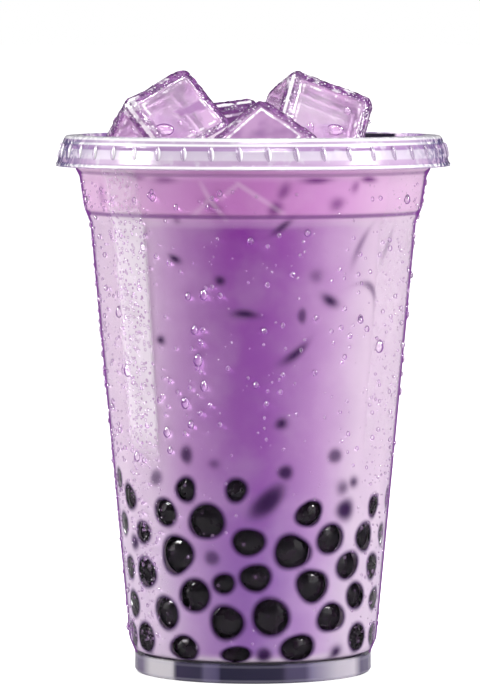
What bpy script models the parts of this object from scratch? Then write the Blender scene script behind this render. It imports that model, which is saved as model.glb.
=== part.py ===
"""Iced taro bubble tea in a clear takeaway cup with an open push-fit lid ring.

Metres, +Z up. The origin is the centre of the cup's foot ring, on the surface it stands on,
and the side that faces the viewer is -Y. Lengths below are in millimetres times MM.
"""

import math
import random

import bmesh
import bpy
from mathutils import Euler, Matrix, Vector

MM = 0.001

# Cup: a thermoformed tapered tumbler of about 600 ml
CUP_STEPS = 52
WALL = 0.6 * MM
FOOT_RADIUS = 30.9 * MM
FOOT_TIP_RADIUS = 30.3 * MM
FOOT_WIDTH = 1.2 * MM
FOOT_HEIGHT = 4.8 * MM
FLOOR_TOP = 5.2 * MM
FLOOR_FILLET = 5.0 * MM
TAPER_BOTTOM = (32.3 * MM, 8.6 * MM)
TAPER_TOP = (42.4 * MM, 117.2 * MM)
SHOULDER_TOP = (43.9 * MM, 120.9 * MM)
NECK_TOP = (45.2 * MM, 129.2 * MM)
COLLAR_BOTTOM = (46.2 * MM, 131.2 * MM)
COLLAR_TOP = (46.6 * MM, 135.9 * MM)
RIM_CENTRE = (47.1 * MM, 137.75 * MM)
RIM_ROLL = 1.25 * MM

# Lid: a clear ring that snaps over the rolled rim and leaves the middle open
LID_TOP = 140.0 * MM
LID_WALL = 0.5 * MM
LID_PLUG_RADIUS = 44.6 * MM
LID_PLUG_DEPTH = 4.7 * MM
LID_CORNER = (48.2 * MM, 2.2 * MM)
LID_SKIRT_TOP = (50.2 * MM, 136.6 * MM)
LID_SKIRT_FOOT = (50.9 * MM, 133.2 * MM)
LID_LIP_RADIUS = 51.35 * MM
LID_LIP_HEIGHT = 131.9 * MM
RIB_COUNT = 44
RIB_WIDTH = 1.7 * MM
RIB_PROUD = 0.45 * MM
RIB_SPAN = (134.1 * MM, 138.0 * MM)

# Drink and its sunken heap of tapioca pearls
GAP = 0.3 * MM
DRINK_LEVEL = 134.5 * MM
HEAP_TOP = 56.0 * MM
HEAP_CORE_INSET = 4.6 * MM
PEARL_SIZES = (7.4 * MM, 9.4 * MM)
PEARL_SPACING = 11.3 * MM
PEARL_TRIES = 4000
PEARL_SEED = 7

# Pearls that show best from the front: degrees round from the front, height and width in mm
FRONT_PEARLS = (
    (-56, 10.4, 8.8), (-31, 8.8, 9.2), (-8, 8.4, 7.6), (21, 9.0, 9.4), (57, 10.6, 8.4),
    (-43, 17.6, 8.6), (-12, 16.0, 8.6), (8, 17.2, 9.8), (38, 16.6, 9.0), (-70, 18.6, 7.6),
    (-26, 22.6, 8.6), (27, 25.2, 8.6), (53, 21.0, 7.6), (-11, 26.2, 5.6), (1, 27.6, 7.6),
    (-53, 28.0, 8.8), (45, 29.8, 7.8), (-36, 33.0, 9.8), (17, 34.2, 9.2), (-2, 36.9, 7.8),
    (35, 37.1, 7.8), (56, 36.8, 7.8), (-53, 38.0, 6.2), (-19, 42.4, 9.4), (24, 44.0, 8.0),
    (-39, 44.0, 7.6), (6, 47.4, 7.6), (42, 44.4, 5.6), (-28, 50.0, 5.8), (-7, 50.2, 5.6),
    (-64, 46.8, 6.6), (-71, 28.1, 6.4), (-74, 39.4, 6.6), (-76, 51.0, 5.6), (-76, 10.4, 7.0),
    (62, 44.6, 5.6), (76, 10.2, 7.0), (72, 19.9, 6.8), (66, 28.7, 6.8), (75, 36.5, 5.8),
    (81, 45.6, 5.6),
)

# Ice cubes: centre in mm, three edges in mm, and roll, pitch and yaw in degrees
ICE_BEVEL = 3.4 * MM
ICE_SEGMENTS = 3
ICE_WOBBLE = 0.35 * MM
ICE_CUBES = {
    "ice_left": ((-22.2, 2.8, 140.4), (23.4, 22.0, 22.0), (-29, -30, 20)),
    "ice_right": ((15.5, 8.4, 141.1), (24.6, 22.0, 22.0), (21, -17, 20)),
    "ice_front": ((2.8, -23.6, 132.9), (22.0, 22.0, 22.0), (41, -40, -3)),
    "ice_back": ((-8.0, 31.0, 139.0), (18.0, 18.0, 18.0), (-8, -6, 24)),
}


def clear_scene():
    """Start from an empty scene."""
    for obj in list(bpy.data.objects):
        bpy.data.objects.remove(obj, do_unlink=True)


def new_collection(name):
    collection = bpy.data.collections.new(name)
    bpy.context.scene.collection.children.link(collection)
    return collection


def principled(name, colour, roughness, alpha=1.0):
    """A plain Principled material."""
    material = bpy.data.materials.new(name)
    material.use_nodes = True
    shader = material.node_tree.nodes["Principled BSDF"]
    shader.inputs["Base Color"].default_value = (*colour, 1.0)
    shader.inputs["Roughness"].default_value = roughness
    shader.inputs["Metallic"].default_value = 0.0
    shader.inputs["Alpha"].default_value = alpha
    return material


def add_object(name, mesh, collection, material=None):
    obj = bpy.data.objects.new(name, mesh)
    collection.objects.link(obj)
    if material is not None:
        mesh.materials.append(material)
    return obj


def arc(centre, radius, start, end, count):
    """Points on an arc in the radius-height plane, angles in degrees from +X."""
    points = []
    for i in range(count):
        angle = math.radians(start + (end - start) * i / (count - 1))
        points.append((centre[0] + radius * math.cos(angle), centre[1] + radius * math.sin(angle)))
    return points


def turned(name, profile, steps, collection, material, closed=False):
    """Turn a profile of (radius, height) points round Z, shaded smooth."""
    mesh = bpy.data.meshes.new(name)
    last = len(profile) if closed else len(profile) - 1
    edges = [(i, (i + 1) % len(profile)) for i in range(last)]
    mesh.from_pydata([(radius, 0.0, height) for radius, height in profile], edges, [])
    obj = add_object(name, mesh, collection, material)
    screw = obj.modifiers.new("Turn", "SCREW")
    screw.axis = "Z"
    screw.steps = steps
    screw.render_steps = steps
    screw.use_merge_vertices = True
    screw.merge_threshold = 0.00001
    screw.use_smooth_shade = True
    return obj


def apply_modifiers(obj):
    """Replace an object's mesh with its evaluated mesh."""
    graph = bpy.context.evaluated_depsgraph_get()
    mesh = bpy.data.meshes.new_from_object(obj.evaluated_get(graph))
    mesh.name = obj.name
    obj.modifiers.clear()
    obj.data = mesh
    return obj


def smooth(obj, degrees=35.0):
    obj.data.shade_smooth()
    obj.data.set_sharp_from_angle(angle=math.radians(degrees))


def inner_stations():
    """Inside of the cup from the bottom fillet up to the collar, as (radius, height)."""
    outer = (TAPER_TOP, SHOULDER_TOP, NECK_TOP, COLLAR_BOTTOM, COLLAR_TOP)
    inside = [(radius - WALL, height) for radius, height in outer]
    wall_foot = (TAPER_BOTTOM[0] - WALL, TAPER_BOTTOM[1])
    centre = (inside_radius_at_taper(FLOOR_TOP + FLOOR_FILLET) - FLOOR_FILLET, FLOOR_TOP + FLOOR_FILLET)
    fillet = arc(centre, FLOOR_FILLET, -90, -8, 5)
    return [point for point in fillet if point[0] < wall_foot[0]] + inside


def inside_radius_at_taper(height):
    """Inside radius of the straight tapered wall, carried on past its ends."""
    rise = (height - TAPER_BOTTOM[1]) / (TAPER_TOP[1] - TAPER_BOTTOM[1])
    return TAPER_BOTTOM[0] + (TAPER_TOP[0] - TAPER_BOTTOM[0]) * rise - WALL


def inside_radius(height):
    """Inside radius of the cup at a height."""
    stations = inner_stations()
    for (radius_low, low), (radius_high, high) in zip(stations, stations[1:]):
        if low <= height <= high:
            share = (height - low) / (high - low)
            return radius_low + (radius_high - radius_low) * share
    return stations[-1][0]


def build_cup(collection):
    """The clear cup: floor, foot ring, tapered wall, stacking shoulder, bead and rolled rim."""
    inside = [(0.0, FLOOR_TOP)] + inner_stations()
    roll = arc(RIM_CENTRE, RIM_ROLL, 180, -90, 6)
    outside = [COLLAR_TOP, COLLAR_BOTTOM, NECK_TOP, SHOULDER_TOP, TAPER_TOP, TAPER_BOTTOM]
    foot = [
        (FOOT_RADIUS, FOOT_HEIGHT + 0.5 * MM),
        (FOOT_RADIUS, 0.7 * MM),
        (FOOT_TIP_RADIUS, 0.0),
        (FOOT_TIP_RADIUS - FOOT_WIDTH, 0.0),
        (FOOT_RADIUS - FOOT_WIDTH, FOOT_HEIGHT - 1.2 * MM),
        (FOOT_RADIUS - 2.4 * MM, FLOOR_TOP - WALL),
        (0.0, FLOOR_TOP - WALL),
    ]
    clear = principled("clear_cup", (0.93, 0.90, 0.95), 0.06, alpha=0.3)
    cup = turned("cup", inside + roll + outside + foot, CUP_STEPS, collection, clear)
    return apply_modifiers(cup)


def lid_profile():
    """Section of the lid ring, from the foot of its plug up the inside, over and down the skirt."""
    plug_foot = (LID_PLUG_RADIUS, LID_TOP - LID_PLUG_DEPTH)
    corner_radius, corner = LID_CORNER
    outside = arc((corner_radius - 0.4 * MM, LID_TOP - corner), corner, 90, 15, 3)
    over = [
        plug_foot,
        (LID_PLUG_RADIUS, LID_TOP - 0.6 * MM),
        (LID_PLUG_RADIUS + 0.6 * MM, LID_TOP),
    ]
    skirt = [LID_SKIRT_TOP, LID_SKIRT_FOOT, (LID_LIP_RADIUS, LID_LIP_HEIGHT + 0.6 * MM)]
    under = [
        (LID_LIP_RADIUS, LID_LIP_HEIGHT),
        (LID_SKIRT_FOOT[0] - LID_WALL - 0.2 * MM, LID_LIP_HEIGHT),
        (LID_SKIRT_TOP[0] - LID_WALL, LID_SKIRT_TOP[1]),
        (corner_radius + 0.7 * MM, LID_TOP - corner + 0.5 * MM),
        (corner_radius - 0.8 * MM, LID_TOP - LID_WALL - 0.1 * MM),
        (LID_PLUG_RADIUS + LID_WALL, LID_TOP - LID_WALL - 0.1 * MM),
        (LID_PLUG_RADIUS + LID_WALL, LID_TOP - LID_PLUG_DEPTH),
    ]
    return over + outside + skirt + under


def build_rib(index, cutters):
    """One leaf-shaped rib of the lid's skirt, half sunk in it."""
    low, high = RIB_SPAN
    middle = (low + high) / 2
    share = (LID_SKIRT_TOP[1] - middle) / (LID_SKIRT_TOP[1] - LID_SKIRT_FOOT[1])
    radius = LID_SKIRT_TOP[0] + (LID_SKIRT_FOOT[0] - LID_SKIRT_TOP[0]) * share
    angle = math.tau * (index + 0.5) / RIB_COUNT
    work = bmesh.new()
    bmesh.ops.create_icosphere(work, subdivisions=1, radius=1.0)
    size = Matrix.Diagonal((RIB_PROUD, RIB_WIDTH / 2, (high - low) / 2, 1.0))
    slope = math.atan2(LID_SKIRT_FOOT[0] - LID_SKIRT_TOP[0], LID_SKIRT_TOP[1] - LID_SKIRT_FOOT[1])
    place = Matrix.Rotation(angle, 4, "Z") @ Matrix.Translation((radius, 0.0, middle))
    work.transform(place @ Matrix.Rotation(-slope, 4, "Y") @ size)
    mesh = bpy.data.meshes.new(f"rib_{index}")
    work.to_mesh(mesh)
    work.free()
    return add_object(f"rib_{index}", mesh, cutters)


def fuse(obj, collection, solver="EXACT"):
    """Join everything in a collection onto an object by one Boolean and remove the helpers."""
    joint = obj.modifiers.new("Fuse", "BOOLEAN")
    joint.operation = "UNION"
    joint.operand_type = "COLLECTION"
    joint.collection = collection
    joint.solver = solver
    apply_modifiers(obj)
    for helper in list(collection.objects):
        bpy.data.objects.remove(helper, do_unlink=True)
    return obj


def build_lid(collection, helpers):
    """The clear snap ring with its ribbed skirt and turned-out lip."""
    clear = principled("clear_lid", (0.93, 0.92, 0.96), 0.06, alpha=0.3)
    ring = turned("lid_ring", lid_profile(), 2 * RIB_COUNT, collection, clear, closed=True)
    apply_modifiers(ring)
    for index in range(RIB_COUNT):
        build_rib(index, helpers)
    return fuse(ring, helpers)


def ice_mesh(name, edges, seed):
    """A rounded, slightly melted ice cube about its own centre."""
    draw = random.Random(seed)
    work = bmesh.new()
    bmesh.ops.create_cube(work, size=1.0)
    work.transform(Matrix.Diagonal((*(Vector(edges) * MM), 1.0)))
    for vertex in work.verts:
        vertex.co += Vector([draw.uniform(-ICE_WOBBLE, ICE_WOBBLE) for _ in range(3)])
    bmesh.ops.bevel(
        work, geom=work.edges[:], offset=ICE_BEVEL, segments=ICE_SEGMENTS, profile=0.5,
        affect="EDGES",
    )
    bmesh.ops.triangulate(work, faces=work.faces[:])
    mesh = bpy.data.meshes.new(name)
    work.to_mesh(mesh)
    work.free()
    return mesh


def placed_ice(name, seed, collection, material=None, spread=0.0):
    """An ice cube at its place; spread swells it on every side."""
    centre, edges, (roll, pitch, yaw) = ICE_CUBES[name]
    mesh = ice_mesh(name, edges, seed)
    turn = Euler([math.radians(a) for a in (pitch, roll, yaw)], "YXZ").to_matrix().to_4x4()
    swell = Matrix.Diagonal([1.0 + 2 * spread / (edge * MM) for edge in edges] + [1.0])
    mesh.transform(Matrix.Translation(Vector(centre) * MM) @ turn @ swell)
    return add_object(name, mesh, collection, material)


def build_ice(collection):
    """The four ice cubes that stand out of the drink."""
    frosted = principled("ice", (0.86, 0.76, 0.88), 0.12, alpha=0.6)
    cubes = []
    for seed, name in enumerate(ICE_CUBES):
        cube = placed_ice(name, seed, collection, frosted)
        smooth(cube, 60.0)
        cubes.append(cube)
    return cubes


def build_drink(collection, cutters):
    """The milk tea from the heap's top to its level, cut round the ice."""
    level_radius = inside_radius(DRINK_LEVEL) - GAP
    bottom = HEAP_TOP + GAP
    wall = [
        (radius - GAP, height)
        for radius, height in reversed(inner_stations())
        if bottom < height < DRINK_LEVEL
    ]
    profile = [(0.0, DRINK_LEVEL), (level_radius, DRINK_LEVEL)] + wall
    profile += [(inside_radius(bottom) - GAP, bottom), (0.0, bottom)]
    milk = principled("taro_milk_tea", (0.52, 0.33, 0.58), 0.25)
    drink = turned("milk_tea", profile, CUP_STEPS, collection, milk)
    apply_modifiers(drink)
    for seed, name in enumerate(ICE_CUBES):
        cutter = placed_ice(name, seed, cutters, spread=GAP * 1.15)
        cutter.name = f"{name}_pocket"
        cutter.hide_render = True
        cutter.display_type = "WIRE"
        pocket = drink.modifiers.new(cutter.name, "BOOLEAN")
        pocket.operation = "DIFFERENCE"
        pocket.object = cutter
        pocket.solver = "EXACT"
    apply_modifiers(drink)
    smooth(drink)
    return drink


def pearl_centre(angle, height, size):
    """Centre of a pearl that rests against the inside of the cup's wall."""
    radius = inside_radius(height) - GAP - size / 2
    return Vector((radius * math.sin(angle), -radius * math.cos(angle), height))


def pearl_places():
    """Centres and sizes of the pearls against the wall: those at the front, then a seeded fill."""
    placed = []
    for degrees, height, size in FRONT_PEARLS:
        size *= MM
        low = FLOOR_TOP + GAP + size / 2
        high = HEAP_TOP - size / 2
        level = min(max(height * MM, low), high)
        placed.append((pearl_centre(math.radians(degrees), level, size), size))
    draw = random.Random(PEARL_SEED)
    for _ in range(PEARL_TRIES):
        size = draw.uniform(*PEARL_SIZES)
        angle = draw.uniform(-math.pi, math.pi)
        height = draw.uniform(FLOOR_TOP + GAP + size / 2, HEAP_TOP - size / 2)
        centre = pearl_centre(angle, height, size)
        if all((centre - other).length > PEARL_SPACING for other, _ in placed):
            placed.append((centre, size))
    return placed


def build_pearl(index, centre, size, helpers):
    work = bmesh.new()
    bmesh.ops.create_uvsphere(work, u_segments=8, v_segments=5, radius=size / 2)
    turn = Matrix.Rotation(index * 1.7, 4, "X") @ Matrix.Rotation(index * 0.9, 4, "Z")
    work.transform(Matrix.Translation(centre) @ turn)
    mesh = bpy.data.meshes.new(f"pearl_{index}")
    work.to_mesh(mesh)
    work.free()
    return add_object(f"pearl_{index}", mesh, helpers)


def keep_largest_shell(obj):
    """Drop loose scraps and fill sealed hollows by keeping only the outermost shell."""
    work = bmesh.new()
    work.from_mesh(obj.data)
    unseen = set(work.verts)
    shells = []
    while unseen:
        stack = [unseen.pop()]
        shell = []
        while stack:
            vertex = stack.pop()
            shell.append(vertex)
            for edge in vertex.link_edges:
                other = edge.other_vert(vertex)
                if other in unseen:
                    unseen.remove(other)
                    stack.append(other)
        shells.append(shell)
    shells.sort(key=len)
    for shell in shells[:-1]:
        bmesh.ops.delete(work, geom=shell, context="VERTS")
    work.to_mesh(obj.data)
    work.free()


def build_heap(collection, helpers):
    """The sunken heap of pearls: a turned core with the pearls at the wall fused on."""
    low = FLOOR_TOP + GAP
    foot = low + 2.0 * MM
    profile = [
        (0.0, HEAP_TOP),
        (inside_radius(HEAP_TOP) - GAP - HEAP_CORE_INSET, HEAP_TOP),
        (inside_radius(foot) - GAP - HEAP_CORE_INSET, foot),
        (inside_radius(foot) - GAP - HEAP_CORE_INSET - 1.5 * MM, low),
        (0.0, low),
    ]
    tapioca = principled("tapioca", (0.010, 0.006, 0.014), 0.18)
    heap = turned("tapioca_pearls", profile, CUP_STEPS // 2, collection, tapioca)
    apply_modifiers(heap)
    for index, (centre, size) in enumerate(pearl_places()):
        build_pearl(index, centre, size, helpers)
    fuse(heap, helpers)
    keep_largest_shell(heap)
    smooth(heap)
    return heap


def main():
    clear_scene()
    collection = new_collection("taro_bubble_tea")
    cutters = new_collection("cutters")
    helpers = new_collection("fused_shapes")
    smooth(build_cup(collection))
    smooth(build_lid(collection, helpers))
    build_heap(collection, helpers)
    build_drink(collection, cutters)
    build_ice(collection)


main()
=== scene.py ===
"""Looks of an iced taro bubble tea: clear cup, lid ring, milk tea, tapioca pearls, ice and dew.

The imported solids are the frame. Lengths are in metres, and small sizes are written in
millimetres times MM. +Z is up, and the side that the camera sees is -Y.
"""

import logging
import math
import random
from dataclasses import dataclass, field, replace
from enum import Enum
from typing import Callable, Iterable, Sequence

import bpy
import numpy as np
from mathutils import Euler, Matrix, Vector, noise


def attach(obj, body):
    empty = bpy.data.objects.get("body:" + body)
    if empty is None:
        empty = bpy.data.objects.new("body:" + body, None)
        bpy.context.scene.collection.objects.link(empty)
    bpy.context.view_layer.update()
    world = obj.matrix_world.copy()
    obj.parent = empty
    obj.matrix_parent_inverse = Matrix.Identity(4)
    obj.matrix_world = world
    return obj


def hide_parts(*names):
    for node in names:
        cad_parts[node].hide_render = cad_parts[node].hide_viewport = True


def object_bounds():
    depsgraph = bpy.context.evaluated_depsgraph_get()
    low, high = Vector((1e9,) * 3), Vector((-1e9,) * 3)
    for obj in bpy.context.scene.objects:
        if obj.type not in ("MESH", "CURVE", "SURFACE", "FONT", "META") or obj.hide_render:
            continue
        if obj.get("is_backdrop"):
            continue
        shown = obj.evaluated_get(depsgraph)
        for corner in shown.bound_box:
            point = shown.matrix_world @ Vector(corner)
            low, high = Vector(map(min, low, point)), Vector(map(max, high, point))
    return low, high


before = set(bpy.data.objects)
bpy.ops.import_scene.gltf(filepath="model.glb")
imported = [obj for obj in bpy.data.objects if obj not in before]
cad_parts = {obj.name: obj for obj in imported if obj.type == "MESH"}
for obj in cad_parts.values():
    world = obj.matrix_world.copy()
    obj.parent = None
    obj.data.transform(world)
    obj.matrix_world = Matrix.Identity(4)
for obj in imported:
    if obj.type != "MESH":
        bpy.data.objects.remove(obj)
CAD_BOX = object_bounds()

MM = 0.001
PER_METRE = 1000.0
WELD = 0.005 * MM
SMOOTH_BELOW = math.radians(40)
WHITE = (1.0, 1.0, 1.0)
LOG = logging.getLogger("taro_bubble_tea")
Point = tuple[float, float]
Colour = tuple[float, float, float]
Triple = tuple[float, float, float]
Quad = tuple[float, float, float, float]
Piece = bpy.types.Object


class Slot(Enum):
    """The record's material slots."""

    CUP = "clear_cup"
    LID = "clear_lid"
    MILK = "taro_milk_tea"
    PEARL = "tapioca"
    ICE = "ice"


# Shader expressions


def math_node(operation: str, swapped: bool = False) -> Callable[["Shade", object], "Shade"]:
    """Make one of Shade's operators.

    Args:
        operation: What its Math node does.
        swapped: Whether the other value comes first.

    Returns:
        The operator.
    """

    def operator(self: "Shade", other: object) -> "Shade":
        """Join this value and another one by a Math node."""
        pair = (other, self) if swapped else (self, other)
        return self.paint.node("ShaderNodeMath", {"operation": operation}, dict(enumerate(pair)))

    return operator


class Shade:
    """A shader socket that can be used in sums; each sum adds a Math node."""

    __add__ = math_node("ADD")
    __radd__ = math_node("ADD", True)
    __sub__ = math_node("SUBTRACT")
    __rsub__ = math_node("SUBTRACT", True)
    __mul__ = math_node("MULTIPLY")
    __rmul__ = math_node("MULTIPLY", True)
    __pow__ = math_node("POWER")

    def __init__(self, paint: "Paint", socket: bpy.types.NodeSocket) -> None:
        """Wrap an output socket of the paint's node tree."""
        self.paint = paint
        self.socket = socket

    def ramp(self, low: float, high: float, start: float = 0.0, end: float = 1.0) -> "Shade":
        """Smooth step from start at low to end at high.

        Args:
            low: Value where the step begins.
            high: Value where the step ends.
            start: Result at low and below.
            end: Result at high and above.

        Returns:
            The stepped value.
        """
        settings = {"interpolation_type": "SMOOTHSTEP", "clamp": True}
        return self.paint.node(
            "ShaderNodeMapRange", settings, {0: self, 1: low, 2: high, 3: start, 4: end}
        )


class Paint:
    """Builds the node tree of a material or of the world."""

    def __init__(self, name: str, kind: str = "Material") -> None:
        """Start a Material or a World with an empty tree."""
        stock = bpy.data.worlds if kind == "World" else bpy.data.materials
        self.kind = kind
        self.owner = stock.new(name)
        self.owner.use_nodes = True
        self.tree = self.owner.node_tree
        self.tree.nodes.clear()

    def node(
        self,
        kind: str,
        settings: dict[str, object],
        sockets: dict[object, object],
        output: object = 0,
    ) -> Shade:
        """Add any node.

        Args:
            kind: The node's type.
            settings: Its properties, set before its sockets.
            sockets: Values or links of its inputs, by name or number.
            output: Name or number of the output wanted.

        Returns:
            That output.
        """
        made = self.tree.nodes.new(kind)
        for name, value in settings.items():
            if name == "stops":
                self._set_stops(made, value)
            else:
                setattr(made, name, value)
        for name, value in sockets.items():
            socket = made.inputs[name]
            if isinstance(value, Shade):
                self.tree.links.new(value.socket, socket)
            elif isinstance(value, tuple) and socket.type == "RGBA":
                socket.default_value = (*value, 1.0)
            else:
                socket.default_value = value
        return Shade(self, made.outputs[output])

    def _set_stops(self, made: bpy.types.Node, stops: Sequence[tuple[float, Colour]]) -> None:
        """Give a colour ramp its stops."""
        elements = made.color_ramp.elements
        elements[0].position = stops[0][0]
        elements[0].color = (*stops[0][1], 1.0)
        elements[1].position = stops[-1][0]
        elements[1].color = (*stops[-1][1], 1.0)
        for place, colour in stops[1:-1]:
            elements.new(place).color = (*colour, 1.0)

    def place(self) -> Shade:
        """Object coordinates, in metres."""
        return self.node("ShaderNodeTexCoord", {}, {}, "Object")

    def height(self) -> Shade:
        """Height above the table, in millimetres."""
        return self.node("ShaderNodeSeparateXYZ", {}, {0: self.place()}, "Z") * PER_METRE

    def attribute(self, name: str) -> Shade:
        """A number stored on the mesh's points."""
        settings = {"attribute_type": "GEOMETRY", "attribute_name": name}
        return self.node("ShaderNodeAttribute", settings, {}, "Fac")

    def grain(self, size_mm: float, detail: float = 2.0, rough: float = 0.5) -> Shade:
        """Soft noise whose features are about size_mm across."""
        return self.node(
            "ShaderNodeTexNoise", {},
            {"Vector": self.place(), "Scale": PER_METRE / size_mm, "Detail": detail,
             "Roughness": rough},
        )

    def cells(self, size_mm: float) -> Shade:
        """Distance to the nearest of scattered points about size_mm apart."""
        sockets = {"Vector": self.place(), "Scale": PER_METRE / size_mm, "Randomness": 1.0}
        return self.node("ShaderNodeTexVoronoi", {"feature": "F1"}, sockets, "Distance")

    def blend(self, factor: object, first: object, second: object) -> Shade:
        """Mix two colours."""
        settings = {"data_type": "RGBA", "blend_type": "MIX"}
        return self.node("ShaderNodeMix", settings, {0: factor, 6: first, 7: second}, 2)

    def bump(self, height: Shade, distance_mm: float, strength: float = 1.0) -> Shade:
        """A normal bent by a height field."""
        return self.node(
            "ShaderNodeBump", {},
            {"Strength": strength, "Distance": distance_mm * MM, "Height": height}, "Normal",
        )

    def principled(self, **sockets: object) -> Shade:
        """A Principled shader; underscores in names stand for spaces."""
        named = {name.replace("_", " "): value for name, value in sockets.items()}
        return self.node("ShaderNodeBsdfPrincipled", {}, named)

    def matt(self, colour: object) -> Shade:
        """A surface with no sheen at all."""
        return self.principled(Base_Color=colour, Roughness=0.5, Specular_IOR_Level=0.0)

    def chrome(self, roughness: float) -> Shade:
        """The mirror that stands for the gloss of plastic and water."""
        return self.principled(Base_Color=WHITE, Metallic=1.0, Roughness=roughness)

    def mix_shader(self, factor: object, first: Shade, second: Shade) -> Shade:
        """Mix two shaders."""
        return self.node("ShaderNodeMixShader", {}, {0: factor, 1: first, 2: second})

    def clear(self, tint: Colour = WHITE) -> Shade:
        """A shader that shows what is behind it."""
        return self.node("ShaderNodeBsdfTransparent", {}, {"Color": tint})

    def facing(self) -> Shade:
        """0 where a surface faces the eye and 1 where it is seen edge on, for sheen."""
        return self.node("ShaderNodeLayerWeight", {}, {"Blend": 0.5}, "Facing")

    def mirror(self, straight: float = 0.003) -> Shade:
        """Share of light that thin plastic mirrors, the same from both of its sides."""
        return straight + self.facing() ** 7.0 * 0.55

    def sides(self) -> tuple[Shade, Shade]:
        """Distances from the cup's axis to the right and to the back, in metres."""
        right = self.node("ShaderNodeSeparateXYZ", {}, {0: self.place()}, "X")
        return right, Shade(self, right.socket.node.outputs["Y"])

    def around(self) -> Shade:
        """Degrees round the axis from the front, towards the right, from -180 to 180."""
        right, back = self.sides()
        arc = self.node("ShaderNodeMath", {"operation": "ARCTAN2"}, {0: right, 1: 0.0 - back})
        return arc * math.degrees(1.0)

    def radius(self) -> Shade:
        """Distance from the cup's axis, in millimetres."""
        right, back = self.sides()
        return (right * right + back * back) ** 0.5 * PER_METRE

    def band(self, value: Shade, low: float, high: float, soft: float) -> Shade:
        """1 where a value lies between low and high, fading over soft."""
        rise = value.ramp(low - soft, low + soft)
        return rise * value.ramp(high - soft, high + soft, 1.0, 0.0)

    def steps(self, value: Shade, stops: Sequence[tuple[float, object]]) -> Shade:
        """A colour ramp; a plain number as a stop stands for that grey."""
        shades = [(at, c if isinstance(c, tuple) else (c, c, c)) for at, c in stops]
        return self.node("ShaderNodeValToRGB", {"stops": shades}, {0: value})

    def ray(self, kind: str) -> Shade:
        """1 for light paths of one kind, such as Is Camera Ray, and 0 for the others."""
        return self.node("ShaderNodeLightPath", {}, {}, kind)

    def lets_lamps_through(self, surface: Shade, tint: Colour) -> Shade:
        """Let lamp light pass a clear body without bending, so what is behind isn't black."""
        return self.mix_shader(self.ray("Is Shadow Ray"), surface, self.clear(tint))

    def done(self, surface: Shade) -> bpy.types.ID:
        """Connect the surface and return the material or the world."""
        out = self.tree.nodes.new(f"ShaderNodeOutput{self.kind}")
        self.tree.links.new(surface.socket, out.inputs["Surface"])
        return self.owner


# Finishes


@dataclass(frozen=True)
class Finish:
    """The recipe of a material."""

    def surface(self, paint: Paint) -> Shade:
        """Build the shader; every finish has its own."""
        raise NotImplementedError

    def material(self, name: str) -> bpy.types.Material:
        """Make the material called name."""
        paint = Paint(name)
        return paint.done(self.surface(paint))


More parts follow.
